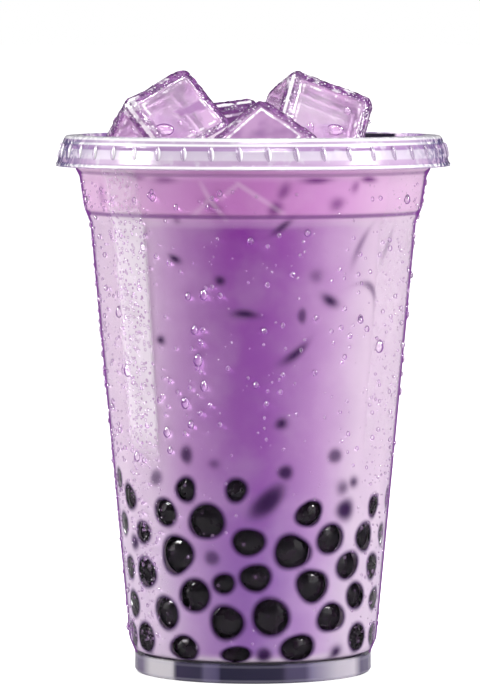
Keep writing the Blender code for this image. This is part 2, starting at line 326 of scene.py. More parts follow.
@dataclass(frozen=True)
class MilkFinish(Finish):
    """Opaque taro milk tea behind clear plastic, made pale where it is seen at a slant by a
    painted sheen.

    Depths give the colour at each height in millimetres, and sheen the share of painted sheen
    by slant.
    With windows, the milk opens over the pearls that touch the wall.
    """

    tall: float = 140.0
    depths: tuple[tuple[float, Colour], ...] = (
        (28.0, (0.22, 0.084, 0.35)), (60.0, (0.235, 0.058, 0.32)), (96.0, (0.225, 0.045, 0.30)),
        (110.0, (0.215, 0.024, 0.29)), (118.4, (0.22, 0.022, 0.29)),
        (120.6, (0.49, 0.155, 0.48)), (129.6, (0.52, 0.19, 0.51)), (131.4, (0.60, 0.28, 0.57)),
    )
    shoulder: Point = (118.5, 121.0)
    # Share of the painted sheen that is kept above the shoulder.
    neck_sheen: float = 0.68
    gloss: float = 0.06
    shadow: Colour = (0.030, 0.007, 0.055)
    high_shadow: Colour = (0.17, 0.035, 0.20)
    # Pale tone of the milk's clouds, colour of its painted sheen edge on and of the painted ice
    # highlights.
    pale_and_sheen: Colour = (0.95, 0.84, 0.88)
    # Colour of the painted sheen where the milk faces the eye.
    sheen_lilac: Colour = (0.93, 0.66, 0.90)
    # Share of painted sheen by slant.
    sheen: tuple[Point, ...] = (
        (0.0, 0.01), (0.015, 0.035), (0.03, 0.08), (0.06, 0.16), (0.117, 0.27), (0.18, 0.35),
        (0.25, 0.43), (0.35, 0.53), (0.48, 0.54), (0.61, 0.58), (0.84, 0.50), (1.0, 0.20),
    )
    windows: bool = True

    def surface(self, paint: Paint) -> Shade:
        """Colour by height, shade by the flecks and pearls, and a veil of painted sheen by the slant.
        """
        layers = [(height / self.tall, colour) for height, colour in self.depths]
        colour = paint.steps(paint.height() * (1.0 / self.tall), layers)
        cloud = paint.grain(12.0, 3.0).ramp(0.38, 0.75, 0.0, 0.09)
        colour = paint.blend(cloud, colour, self.pale_and_sheen)
        # Painted sheen: paler milk mixed in by slant stands in for the light of the side lamps.
        pale_and_sheen = paint.steps(paint.facing(), self.sheen)
        if self.windows:
            shade = paint.attribute("shade")
            gap = paint.attribute("pearl_gap")
            halo = gap.ramp(-0.4, 1.25, 0.98, 0.0)
            high = paint.height().ramp(118.0, 121.5)
            colour = paint.blend(shade, colour, paint.blend(high, self.shadow, self.high_shadow))
            colour = paint.blend(halo, colour, self.shadow)
            # Painted highlight along the edges of the sunk ice.
            colour = paint.blend(paint.attribute("glow"), colour, self.pale_and_sheen)
            pale_and_sheen = pale_and_sheen * (1.0 - halo) * (1.0 - shade)
        # Less painted sheen above the shoulder.
        pale_and_sheen = pale_and_sheen * paint.height().ramp(*self.shoulder, 1.0, self.neck_sheen)
        ripple = paint.bump(paint.grain(5.0, 1.0), 0.05, 0.3)
        sockets = {"Specular_IOR_Level": self.gloss, "Roughness": 0.45, "Normal": ripple}
        body = paint.principled(Base_Color=colour, **sockets)
        # The painted sheen is lilac where the milk faces the eye and paler edge on.
        near_sheen = paint.principled(Base_Color=self.sheen_lilac, **sockets)
        veil = paint.principled(Base_Color=self.pale_and_sheen, **sockets)
        veil = paint.mix_shader(paint.facing().ramp(0.06, 0.34), near_sheen, veil)
        surface = paint.mix_shader(pale_and_sheen, body, veil)
        if self.windows:
            opening = gap.ramp(-0.65, -0.15, 1.0, 0.0)
            surface = paint.mix_shader(opening, surface, paint.clear())
        return surface


@dataclass(frozen=True)
class TapiocaFinish(Finish):
    """Black boiled tapioca, wet and glossy."""

    body: Colour = (0.003, 0.0015, 0.004)
    edge: Colour = (0.012, 0.004, 0.013)
    gloss: float = 0.014

    def surface(self, paint: Paint) -> Shade:
        """Black with a thin wet gloss."""
        mottled = paint.blend(paint.grain(3.0).ramp(0.45, 0.75), self.body, self.edge)
        dimple = paint.bump(paint.grain(2.2, 1.0), 0.10, 0.25)
        body = paint.principled(
            Base_Color=mottled, Roughness=0.6, Specular_IOR_Level=0.0, Normal=dimple,
        )
        wet = paint.principled(
            Base_Color=(1.0, 0.97, 1.0), Metallic=1.0, Normal=dimple,
            Roughness=paint.grain(4.0).ramp(0.3, 0.7, 0.05, 0.11),
        )
        return paint.mix_shader(self.gloss, body, wet)


@dataclass(frozen=True)
class IceFinish(Finish):
    """Clear ice tinted by the tea, with frosted, bubbly rounded edges and painted white
    highlight lines along them.
    """

    tint: Colour = (0.86, 0.70, 0.87)
    lamp_tint: Colour = (0.86, 0.76, 0.89)
    face: Colour = (0.77, 0.53, 0.78)
    steeped: Colour = (0.24, 0.070, 0.29)
    light_tea: Colour = (0.47, 0.22, 0.49)
    deep: Colour = (0.085, 0.009, 0.125)
    mid: Colour = (0.26, 0.075, 0.31)
    # White of the frost's specks and of the painted highlight lines.
    rime_and_highlight: Colour = (0.99, 0.96, 1.00)
    index: float = 1.31

    def surface(self, paint: Paint) -> Shade:
        """Frost the rounded edges, paint white highlight lines along them and leave the faces clear.
        """
        rim = paint.attribute("rim")
        tea = paint.attribute("tea")
        slant = paint.facing()
        bare = 1.0 - tea * 0.25
        frost = rim.ramp(-0.3, 0.5) * slant.ramp(0.04, 0.20, 0.70, 1.0) * bare
        # Painted highlight: a white line just inside each rounded edge.
        highlight_and_rime = paint.band(rim, -1.2, -0.5, 0.3) * bare
        # Painted highlight on the rounded edges that face the eye.
        ridge_highlight = rim.ramp(1.75, 2.2) * slant.ramp(0.30, 0.60, 1.0, 0.0)
        pits = paint.cells(1.0).ramp(0.10, 0.50)
        relief = paint.grain(2.8, 2.0) * 0.25 + frost * (pits * 0.7 + paint.grain(0.9, 2.0) * 1.2)
        normal = paint.bump(relief, 0.35, 0.6)
        glass = paint.principled(
            Base_Color=self.tint, Roughness=frost.ramp(0.0, 1.0, 0.01, 0.08),
            Transmission_Weight=1.0, IOR=self.index, Normal=normal,
        )
        streak = paint.grain(2.6, 4.0, 0.7).ramp(0.42, 0.62)
        band = paint.blend(streak, self.deep, self.mid)
        specks = paint.cells(0.95).ramp(0.14, 0.36, 1.0, 0.0) * paint.grain(2.0, 1.0).ramp(0.36, 0.56)
        band = paint.blend(specks, band, self.rime_and_highlight)
        drift = paint.grain(8.0, 2.0)
        flat = paint.blend(drift.ramp(0.40, 0.70, 0.0, 0.55), self.face, self.rime_and_highlight)
        soaked = paint.blend(drift.ramp(0.34, 0.62), self.steeped, self.light_tea)
        flat = paint.blend(tea, flat, soaked)
        flat = paint.blend(tea.ramp(0.92, 1.0) * 0.8, flat, self.deep)
        mark = paint.attribute("mark")
        flat = paint.blend(mark * 0.8, flat, self.mid)
        colour = paint.blend(frost, flat, band)
        colour = paint.blend(slant.ramp(0.55, 0.95, 0.0, 0.8) * frost, colour, self.deep)
        # Noise that breaks up the painted highlight lines.
        highlight_breakup = paint.grain(4.0, 2.0)
        crest_breakup = paint.grain(2.2, 3.0).ramp(0.40, 0.60, 0.05, 0.9)
        highlight_and_rime = highlight_and_rime * (crest_breakup * highlight_breakup.ramp(0.34, 0.50, 0.3, 1.0) + tea * 0.5)
        highlight_and_rime = highlight_and_rime + ridge_highlight * highlight_breakup.ramp(0.30, 0.44, 0.35, 1.0)
        # The frost's white specks join the painted highlights.
        highlight_and_rime = (highlight_and_rime + frost * paint.grain(5.0, 3.0).ramp(0.56, 0.66) * 0.6).ramp(0.0, 1.0)
        colour = paint.blend(highlight_and_rime, colour, self.rime_and_highlight)
        rime_and_highlight = paint.principled(
            Base_Color=colour, Roughness=0.14, Specular_IOR_Level=0.45, Normal=normal,
        )
        rind = frost * 0.46 + highlight_and_rime * 0.40 + 0.36 + tea * (1.0 - frost) * 0.46
        rind = (rind + mark * 0.45).ramp(0.0, 1.0)
        surface = paint.mix_shader(rind, glass, rime_and_highlight)
        return paint.lets_lamps_through(surface, self.lamp_tint)


@dataclass(frozen=True)
class AirFinish(Finish):
    """Air in ice: a bubble's wall mirrors more than it lets through."""

    index: float = 0.763

    def surface(self, paint: Paint) -> Shade:
        """Glass that bends light the other way."""
        sockets = {"Color": WHITE, "Roughness": 0.0, "IOR": self.index}
        surface = paint.node("ShaderNodeBsdfGlass", {}, sockets)
        return paint.lets_lamps_through(surface, WHITE)


@dataclass(frozen=True)
class DewFinish(Finish):
    """A drop of cold water on the plastic, dark round its edge."""

    outline: Colour = (0.19, 0.055, 0.26)
    rim: float = 0.80
    shine: float = 0.05
    lamp_tint: Colour = (0.80, 0.72, 0.82)
    index: float = 1.33

    def surface(self, paint: Paint) -> Shade:
        """Water with a dark outline and a glint."""
        water = paint.principled(
            Base_Color=(1.0, 0.98, 1.0), Roughness=0.0, Transmission_Weight=1.0, IOR=self.index,
        )
        water = paint.mix_shader(self.shine, water, paint.chrome(0.06))
        rim = paint.facing().ramp(0.16, 0.46, 0.0, self.rim)
        surface = paint.mix_shader(rim, water, paint.matt(self.outline))
        return paint.lets_lamps_through(surface, self.lamp_tint)


@dataclass(frozen=True)
class CupFinish(Finish):
    """Thin clear plastic with a mist of condensation. The side lamps' bright strips are painted
    highlight in the mist, its steps get painted shade lines and its thick foot painted
    reflections of the lamps over painted shade.

    The mist's table and the foot's table run round the cup, from 0 at the back over 0.5 at the
    front to 1. The other pairs are heights in millimetres.
    """

    # White of the mist and of the painted highlight strips.
    film_and_highlight: Colour = (0.97, 0.88, 0.96)
    bead: Colour = (0.44, 0.22, 0.50)
    # Colour of the painted shade lines.
    line: Colour = (0.17, 0.045, 0.23)
    # Share of mist round the cup; its high steps at the sides are painted highlight strips of the
    # side lamps.
    mist_and_highlight: tuple[Point, ...] = (
        (0.0, 0.0), (0.08, 0.10), (0.13, 0.8), (0.18, 0.8), (0.21, 0.3), (0.23, 0.25),
        (0.337, 0.20), (0.343, 1.0), (0.385, 1.0), (0.390, 0.0), (0.634, 0.0), (0.64, 0.45),
        (0.74, 0.6), (0.80, 0.2), (0.86, 0.8), (0.92, 0.2), (1.0, 0.0),
    )
    # Painted reflections of the lamps and painted shade on the thick foot, round the cup.
    foot_reflections_and_shade: tuple[tuple[float, Colour], ...] = (
        (0.00, (0.05, 0.04, 0.09)), (0.16, (0.30, 0.27, 0.36)), (0.24, (0.05, 0.04, 0.09)),
        (0.31, (0.13, 0.10, 0.18)), (0.335, (0.60, 0.57, 0.60)), (0.382, (0.62, 0.59, 0.62)),
        (0.388, (0.04, 0.03, 0.07)), (0.428, (0.035, 0.03, 0.065)), (0.434, (0.13, 0.11, 0.20)),
        (0.452, (0.10, 0.08, 0.17)), (0.457, (0.020, 0.017, 0.045)), (0.538, (0.022, 0.018, 0.045)),
        (0.545, (0.075, 0.06, 0.12)), (0.572, (0.08, 0.065, 0.13)), (0.58, (0.20, 0.17, 0.28)),
        (0.625, (0.52, 0.48, 0.55)), (0.66, (0.60, 0.55, 0.62)), (0.68, (0.11, 0.09, 0.16)),
        (0.75, (0.10, 0.08, 0.16)), (0.84, (0.32, 0.29, 0.38)), (1.00, (0.05, 0.04, 0.09)),
    )
    # Painted highlight along the foot's edges.
    foot_lip_highlight: Colour = (0.45, 0.42, 0.52)
    foot_top: Point = (4.6, 5.4)
    shoulder: Point = (119.4, 120.5)
    beading: Point = (130.0, 131.0)
    line_soft: float = 0.4

    def surface(self, paint: Paint) -> Shade:
        """Clear wall with mist, painted highlight strips and painted shade lines over a foot of
        painted reflections and shade.
        """
        height = paint.height()
        foot = height.ramp(*self.foot_top, 1.0, 0.0)
        turn = (paint.around() + 180.0) * (1.0 / 360.0)
        # Painted highlight: the side lamps' bright strips are painted as white mist by angle, with
        # the condensation's dots and rings in it.
        mist_and_highlight_zone = paint.steps(turn, self.mist_and_highlight) * height.ramp(123.0, 117.0, 0.6, 1.0)
        patch = paint.grain(9.0, 1.0).ramp(0.30, 0.60, 0.85, 1.0)
        speck = paint.cells(1.3)
        dots = speck.ramp(0.10, 0.22, 0.8, 0.0) * paint.grain(1.7, 0.0).ramp(0.48, 0.54)
        ring = paint.band(speck, 0.20, 0.34, 0.06)
        # The white film of mist and painted highlight is thin low down.
        veil = 0.62 * height.ramp(50.0, 66.0, 0.02, 1.0)
        mist_and_highlight_share = (mist_and_highlight_zone * patch * (veil + dots)).ramp(0.0, 1.0) * (1.0 - foot)
        ring = ring * (1.0 - dots) * 0.9
        mist_and_highlight_film = paint.principled(
            Base_Color=paint.blend(ring, self.film_and_highlight, self.bead), Roughness=0.5,
            Specular_IOR_Level=0.1,
        )
        wall = paint.mix_shader(paint.mirror(), paint.clear(), paint.chrome(0.04))
        wall = paint.mix_shader(mist_and_highlight_share, wall, mist_and_highlight_film)
        # Painted shade: dark lines along the shoulder step and the bead, and darker along the
        # outline.
        shoulder = paint.band(height, *self.shoulder, self.line_soft) * 0.55
        bead = paint.band(height, *self.beading, self.line_soft) * 0.4
        edge = paint.facing().ramp(0.76, 0.90, 0.0, 0.9)
        dark = (shoulder + bead + edge).ramp(0.0, 1.0) * (1.0 - foot)
        wall = paint.mix_shader(dark, wall, paint.matt(self.line))
        # Painted reflections of the lamps in bands over painted shade, and painted highlight lines
        # along the foot's edges.
        foot_light_and_shade = paint.steps(turn, self.foot_reflections_and_shade)
        lip_highlight = paint.band(height, 0.2, 0.9, 0.3) + paint.band(height, 4.0, 4.6, 0.25) * 0.5
        lit_and_shaded_foot = paint.principled(
            Base_Color=paint.blend(lip_highlight * 0.30, foot_light_and_shade, self.foot_lip_highlight), Roughness=0.10,
            Specular_IOR_Level=0.12,
        )
        return paint.mix_shader(foot * 0.96, wall, lit_and_shaded_foot)


@dataclass(frozen=True)
class LidFinish(Finish):
    """Clear ring with painted white highlights along its thick edges, and a skirt that looks purple.

    Each row is a height in millimetres, how solid the plastic looks there and its colour; the
    white rows are painted highlights.
    The back half is told by the square of the degrees round from the front.
    """

    base: float = 131.0
    tall: float = 9.5
    # The white rows are painted highlights along the rolled edges.
    rows: tuple[tuple[float, float, Colour], ...] = (
        (131.9, 0.60, (0.66, 0.48, 0.70)), (132.15, 0.60, (0.66, 0.48, 0.70)),
        (132.3, 0.92, (1.00, 0.97, 1.00)), (132.75, 0.92, (1.00, 0.97, 1.00)),
        (133.0, 0.60, (0.68, 0.48, 0.73)), (134.2, 0.60, (0.74, 0.55, 0.78)),
        (134.6, 0.62, (0.88, 0.79, 0.92)), (136.6, 0.62, (0.84, 0.74, 0.89)),
        (136.9, 0.66, (0.48, 0.29, 0.56)), (137.8, 0.66, (0.56, 0.37, 0.63)),
        (138.05, 0.92, (1.00, 0.98, 1.00)), (138.35, 0.92, (1.00, 0.98, 1.00)),
        (138.6, 0.64, (0.68, 0.52, 0.75)), (139.05, 0.64, (0.72, 0.56, 0.78)),
        (139.3, 0.92, (1.00, 0.98, 1.00)), (140.0, 0.90, (0.96, 0.93, 0.98)),
    )
    end: Colour = (0.11, 0.08, 0.22)
    behind: Colour = (0.33, 0.22, 0.45)
    dark: Colour = (0.012, 0.010, 0.025)
    film_and_highlight: Colour = (0.96, 0.94, 0.98)
    tint: Colour = (0.95, 0.93, 0.98)
    patch_arc: Point = (122.0, 144.0)
    patch_rise: Point = (138.3, 139.7)
    inner_wall: Point = (45.3, 45.8)
    back_half: Point = (8100.0, 9500.0)

    def surface(self, paint: Paint) -> Shade:
        """Stripes by height with painted highlight rows, dark at the ends and at the back."""
        height = paint.height()
        level = (height - self.base) * (1.0 / self.tall)
        places = [(at - self.base) / self.tall for at, _, _ in self.rows]
        body = paint.steps(level, [(at, row[2]) for at, row in zip(places, self.rows)])
        solid = paint.steps(level, [(at, row[1]) for at, row in zip(places, self.rows)])
        # Pale patches of painted reflection.
        body = paint.blend(paint.grain(3.0, 2.0).ramp(0.54, 0.72, 0.0, 0.5), body, self.film_and_highlight)
        side = paint.facing().ramp(0.34, 0.80, 0.0, 1.0) * paint.grain(1.6, 2.0).ramp(0.38, 0.52)
        side = side * height.ramp(138.9, 139.3, 1.0, 0.4)
        body = paint.blend(side, body, self.end)
        turn = paint.around()
        inner = paint.radius().ramp(*self.inner_wall, 1.0, 0.0)
        inner = inner * (turn * turn).ramp(*self.back_half)
        body = paint.blend(inner * paint.grain(5.0, 2.0).ramp(0.40, 0.60), body, self.behind)
        patch = paint.band(turn, *self.patch_arc, 1.5) * inner
        patch = patch * paint.band(height, *self.patch_rise, 0.1)
        body = paint.blend(patch, body, self.dark)
        gloss = paint.principled(Base_Color=body, Roughness=0.16, Specular_IOR_Level=0.35)
        share = (paint.mirror() * 0.3 + solid + side * 0.25 + patch * 0.5).ramp(0.0, 1.0)
        return paint.mix_shader(share, paint.clear(self.tint), gloss)


@dataclass(frozen=True)
class RibFinish(Finish):
    """Raised leaf marks of the skirt, finely frosted, with a painted highlight along one edge and
    painted shade along the other.
    """

    # Colour of the painted highlight.
    film_and_highlight: Colour = (0.97, 0.95, 0.98)
    # Colour of the painted shade.
    rib_shade: Colour = (0.50, 0.33, 0.58)

    def surface(self, paint: Paint) -> Shade:
        """Painted highlight on one side and painted shade on the other."""
        bright = paint.attribute("bright")
        gloss = paint.principled(
            Base_Color=paint.blend(bright, self.rib_shade, self.film_and_highlight), Roughness=0.18,
            Specular_IOR_Level=0.8, Normal=paint.bump(paint.grain(0.7), 0.05, 0.4),
        )
        share = bright * 0.60 + 0.34
        return paint.mix_shader(share, paint.clear(), gloss)


@dataclass(frozen=True)
class FloorFinish(Finish):
    """Matt white sweep, lit a little from beneath."""

    paper: Colour = (0.90, 0.90, 0.91)
    lit: float = 0.85

    def surface(self, paint: Paint) -> Shade:
        """White to the eye, matt to the cup."""
        tooth = paint.bump(paint.grain(1.5), 0.02, 0.2)
        sockets = {
            "Base_Color": self.paper, "Roughness": 0.9, "Specular_IOR_Level": 0.0, "Normal": tooth,
        }
        dull = paint.principled(**sockets)
        bright = paint.principled(Emission_Color=WHITE, Emission_Strength=self.lit, **sockets)
        return paint.mix_shader(paint.ray("Is Camera Ray"), dull, bright)


# Modelling helpers


def deselect() -> None:
    """Leave edit mode and deselect everything."""
    if bpy.context.mode != "OBJECT":
        bpy.ops.object.mode_set(mode="OBJECT")
    bpy.ops.object.select_all(action="DESELECT")


def pick(*pieces: Piece) -> None:
    """Select only these pieces, the first one active."""
    deselect()
    for piece in pieces:
        piece.select_set(True)
    bpy.context.view_layer.objects.active = pieces[0]


def rounded(profile: Sequence[Triple], steps: int = 4) -> list[Point]:
    """Round the corners of a profile.

    Args:
        profile: Points as radius, height and fillet radius, in millimetres.
        steps: Points on each fillet.

    Returns:
        The rounded profile, as radius and height in millimetres.
    """
    out: list[Point] = [profile[0][:2]]
    share = 0.48
    for before, corner, after in zip(profile, profile[1:], profile[2:]):
        here = Vector(corner[:2])
        back = Vector(before[:2]) - here
        ahead = Vector(after[:2]) - here
        if corner[2] <= 0.0:
            out.append(tuple(here))
            continue
        half = back.angle(ahead) / 2
        reach = min(corner[2] / math.tan(half), back.length * share, ahead.length * share)
        start = here + back.normalized() * reach
        end = here + ahead.normalized() * reach
        for i in range(steps + 1):
            t = i / steps
            out.append(tuple((1 - t) ** 2 * start + 2 * t * (1 - t) * here + t * t * end))
    out.append(profile[-1][:2])
    return out


def lathe(name: str, profile: Sequence[Point], steps: int) -> Piece:
    """Extrude a profile point by point and spin it round the cup's axis.

    Args:
        name: The piece's name.
        profile: Radius and height of each point, in millimetres.
        steps: Segments round the axis.

    Returns:
        The turned piece, closed where its ends meet, faces outwards.
    """
    deselect()
    bpy.ops.mesh.primitive_plane_add(size=1.0)
    piece = bpy.context.object
    piece.name = name
    bpy.ops.object.mode_set(mode="EDIT")
    bpy.ops.mesh.select_all(action="SELECT")
    bpy.ops.mesh.merge(type="CENTER")
    first = profile[0]
    bpy.ops.transform.translate(value=(first[0] * MM, 0.0, first[1] * MM))
    for (r0, z0), (r1, z1) in zip(profile, profile[1:]):
        step = ((r1 - r0) * MM, 0.0, (z1 - z0) * MM)
        bpy.ops.mesh.extrude_region_move(TRANSFORM_OT_translate={"value": step})
    bpy.ops.mesh.select_all(action="SELECT")
    bpy.ops.mesh.spin(steps=steps, angle=math.tau, center=(0, 0, 0), axis=(0, 0, 1))
    bpy.ops.mesh.select_all(action="SELECT")
    bpy.ops.mesh.remove_doubles(threshold=WELD)
    bpy.ops.mesh.normals_make_consistent(inside=False)
    bpy.ops.object.mode_set(mode="OBJECT")
    bpy.ops.object.shade_smooth_by_angle(angle=SMOOTH_BELOW)
    return piece


def points_of(piece: Piece) -> np.ndarray:
    """The piece's points as rows of x, y, z."""
    flat = np.empty(len(piece.data.vertices) * 3)
    piece.data.vertices.foreach_get("co", flat)
    return flat.reshape(-1, 3)


def set_points(piece: Piece, points: np.ndarray) -> None:
    """Move the piece's points to rows of x, y, z."""
    piece.data.vertices.foreach_set("co", points.ravel())
    piece.data.update()


def store(piece: Piece, **numbers: np.ndarray) -> None:
    """Keep one number a point for each name, as an attribute."""
    for name, values in numbers.items():
        layer = piece.data.attributes.new(name, "FLOAT", "POINT")
        layer.data.foreach_set("value", values.astype(np.float32))


def on_skin(points: np.ndarray) -> tuple[np.ndarray, np.ndarray, np.ndarray]:
    """Degrees round from the front, height and radius of points, in millimetres."""
    angle = np.degrees(np.arctan2(points[:, 0], -points[:, 1]))
    return angle, points[:, 2] / MM, np.hypot(points[:, 0], points[:, 1]) / MM


def from_spot(
    skin: tuple[np.ndarray, np.ndarray, np.ndarray], degrees: float, height: float, tilt: float
) -> tuple[np.ndarray, np.ndarray]:
    """Measure points on the wall from a spot, along a tilted line and across it.

    Args:
        skin: What on_skin gives for the points.
        degrees: Angle of the spot round from the front.
        height: Height of the spot in millimetres.
        tilt: Degrees that the line rises towards the right.

    Returns:
        Millimetres along the line and across it.
    """
    angle, level, radius = skin
    turn = (angle - degrees + 180.0) % 360.0 - 180.0
    side = np.radians(turn) * radius
    up = level - height
    lean = math.radians(tilt)
    along = side * math.cos(lean) + up * math.sin(lean)
    across = -side * math.sin(lean) + up * math.cos(lean)
    return along, across


def scatter(name: str, template: Piece, places: Sequence[Matrix]) -> Piece:
    """Join a copy of a modelled piece for each place, and drop the template.

    Args:
        name: The joined piece's name.
        template: The piece to copy.
        places: Where each copy goes.

    Returns:
        The joined piece.
    """
    mesh = template.data
    points = points_of(template)
    loops = np.empty(len(mesh.loops), np.int32)
    mesh.loops.foreach_get("vertex_index", loops)
    starts = np.empty(len(mesh.polygons), np.int32)
    totals = np.empty(len(mesh.polygons), np.int32)
    mesh.polygons.foreach_get("loop_start", starts)
    mesh.polygons.foreach_get("loop_total", totals)
    faces = [loops[s:s + t].tolist() for s, t in zip(starts, totals)]
    all_points = []
    all_faces: list[list[int]] = []
    for index, place in enumerate(places):
        turn = np.array(place)
        all_points.append(points @ turn[:3, :3].T + turn[:3, 3])
        offset = index * len(points)
        all_faces.extend([[corner + offset for corner in face] for face in faces])
    joined = bpy.data.meshes.new(name)
    joined.from_pydata(np.concatenate(all_points).tolist(), [], all_faces)
    piece = bpy.data.objects.new(name, joined)
    bpy.context.scene.collection.objects.link(piece)
    bpy.data.objects.remove(template, do_unlink=True)
    pick(piece)
    bpy.ops.object.shade_smooth()
    return piece


def ball(name: str, segments: int, rings: int) -> Piece:
    """A unit ball to be shaped into a pearl, drop or bubble."""
    deselect()
    bpy.ops.mesh.primitive_uv_sphere_add(segments=segments, ring_count=rings, radius=1.0)
    piece = bpy.context.object
    piece.name = name
    return piece


def hand_in(piece: Piece, slot: Slot, material: bpy.types.Material, *nodes: str) -> None:
    """Dress a piece and tie it to the frame.

    Args:
        piece: The finished piece.
        slot: Not used.
        material: Its material.
        nodes: CAD nodes that it stands for.
    """
    piece.data.materials.clear()
    piece.data.materials.append(material)
    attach(piece, "root")
    if nodes:
        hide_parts(*nodes)
    LOG.info("%s: %d faces", piece.name, len(piece.data.polygons))


# The cup


@dataclass
class Cup:
    """Thermoformed clear cup: floor, foot ring, tapered wall, shoulder, bead and rolled rim."""

    wall: float = 0.6
    steps: int = 160
    floor_top: float = 5.2
    level: float = 134.5
    rim_centre: Point = (47.1, 137.75)
    rim_roll: float = 1.25
    stations: tuple[Point, ...] = (
        (32.3, 8.6), (42.4, 117.2), (43.9, 120.9), (45.2, 129.2), (46.2, 131.2), (46.6, 135.9),
    )
    floor_fillet: float = 3.0
    floor_rows: int = 7
    roll_points: int = 15
    fillets: tuple[float, ...] = (0.6, 0.7, 0.7, 0.5, 0.6, 1.4)
    foot: tuple[Triple, ...] = (
        (30.9, 5.3, 0.5), (30.9, 0.7, 0.5), (30.3, 0.0, 0.25), (29.1, 0.0, 0.25),
        (29.6, 3.6, 0.6), (28.5, 4.6, 0.6), (0.0, 4.6, 0.0),
    )
    taper: float = 5.3
    finish: CupFinish = field(default_factory=CupFinish)

    def inside(self, height: np.ndarray | float) -> np.ndarray:
        """Inside radius of the cup at each height.

        Args:
            height: Heights in millimetres.

        Returns:
            Radii in millimetres.
        """
        radii = [radius - self.wall for radius, _ in self.stations]
        heights = [z for _, z in self.stations]
        straight = np.interp(height, heights, radii)
        low = np.clip(self.floor_top + self.floor_fillet - np.asarray(height), 0, self.floor_fillet)
        corner = self.floor_fillet - np.sqrt(self.floor_fillet**2 - low**2)
        return straight - corner

    def on_wall(self, degrees: float, height: float, depth: float = 0.0) -> Vector:
        """A point on the inside of the wall.

        Args:
            degrees: Angle round from the front, towards the right.
            height: Height in millimetres.
            depth: Distance in from the wall, in millimetres; negative is outwards.

        Returns:
            The point, in metres.
        """
        radius = float(self.inside(height)) - depth
        turn = math.radians(degrees)
        return Vector((radius * math.sin(turn), -radius * math.cos(turn), height)) * MM

    def seat(
        self, degrees: float, height: float, depth: float, size: Triple, lean: float = 0.0
    ) -> Matrix:
        """Place a unit ball on the wall.

        Args:
            degrees: Angle round from the front, towards the right.
            height: Height in millimetres.
            depth: Distance in from the inside of the wall, in millimetres.
            size: Half its depth, width and tallness, in metres.
            lean: Degrees that it leans along the wall.

        Returns:
            The ball's matrix.
        """
        return (
            Matrix.Translation(self.on_wall(degrees, height, depth))
            @ Matrix.Rotation(math.radians(degrees - 90), 4, "Z")
            @ Matrix.Rotation(math.radians(self.taper), 4, "Y")
            @ Matrix.Rotation(math.radians(lean), 4, "X")
            @ Matrix.Diagonal((*size, 1.0))
        )

    def build(self) -> None:
        """Model and dress the cup."""
        inner = [(0.0, self.floor_top)]
        top = self.floor_top + self.floor_fillet
        corner = np.linspace(self.floor_top + 0.02, top, self.floor_rows)
        inner += [(float(self.inside(z)), float(z)) for z in corner]
        inner += [(radius - self.wall, z) for radius, z in self.stations[1:]]
        centre, height = self.rim_centre
        roll = [
            (centre + self.rim_roll * math.cos(a), height + self.rim_roll * math.sin(a))
            for a in np.radians(np.linspace(180, -90, self.roll_points))
        ]
        outer = [(r, z, f) for (r, z), f in zip(reversed(self.stations), self.fillets)]
        profile = inner + roll + rounded([(*roll[-1], 0.0), *outer, *self.foot])[1:]
        piece = lathe("cup_wall", profile, self.steps)
        hand_in(piece, Slot.CUP, self.finish.material("clear_cup_plastic"), "cup")


@dataclass
class LidRing:
    """Clear ring that snaps over the rim: plug, flat top, ribbed skirt and turned-out lip."""

    top: float = 140.0
    plug: float = 44.6
    plug_depth: float = 4.7
    thick: float = 0.5
    steps: int = 176
    rib_count: int = 44
    rib_size: Triple = (0.42, 0.85, 1.95)
    rib_place: Point = (50.43, 136.05)
    rib_lean: float = 7.0
    skirt_slope: Point = (0.7, 3.4)
    finish: LidFinish = field(default_factory=LidFinish)
    rib_finish: RibFinish = field(default_factory=RibFinish)

    def profile(self) -> list[Point]:
        """Section of the ring from the plug's foot, up, over and down the skirt and back."""
        top, plug, thick = self.top, self.plug, self.thick
        corners = [
            (plug, top - self.plug_depth, 0.0), (plug, top, 0.5), (46.2, top - 0.05, 0.0),
            (46.8, top - 0.25, 0.3), (48.9, top, 1.7), (49.75, 137.4, 1.2), (50.2, 136.6, 0.8),
            (50.9, 133.2, 0.5), (51.35, 132.5, 0.3), (51.35, 131.9, 0.2), (50.2, 131.9, 0.2),
            (49.7, 136.6, 0.8), (48.9, 138.3, 0.8), (47.4, top - 0.6, 0.3),
            (plug + thick, top - 0.6, 0.2), (plug + thick, top - self.plug_depth, 0.0),
        ]
        return rounded(corners, 3) + [(plug, top - self.plug_depth)]

    def build(self) -> None:
        """Model and dress the ring and its ribs."""
        ring = lathe("lid_ring_clear", self.profile(), self.steps)
        hand_in(ring, Slot.LID, self.finish.material("clear_lid_plastic"), "lid_ring")
        rib = ball("rib", 10, 8)
        # Painted highlight on one side of each rib and painted shade on the other.
        edge = np.clip(points_of(rib)[:, 1] * 1.6, 0.0, 1.0)
        depth, width, tall = self.rib_size
        bpy.ops.transform.resize(value=(depth * MM, width * MM, tall * MM))
        bpy.ops.object.transform_apply(location=False, rotation=False, scale=True)
        radius, middle = self.rib_place
        slope = Matrix.Rotation(-math.atan2(*self.skirt_slope), 4, "Y")
        lean = Matrix.Rotation(math.radians(self.rib_lean), 4, "X")
        out = Matrix.Translation((radius * MM, 0.0, middle * MM))
        places = []
        for index in range(self.rib_count):
            turn = Matrix.Rotation(math.tau * (index + 0.5) / self.rib_count, 4, "Z")
            places.append(turn @ out @ slope @ lean)
        ribs = scatter("lid_ribs", rib, places)
        store(ribs, bright=np.tile(edge, self.rib_count))
        hand_in(ribs, Slot.LID, self.rib_finish.material("rib_plastic"))


# Tapioca


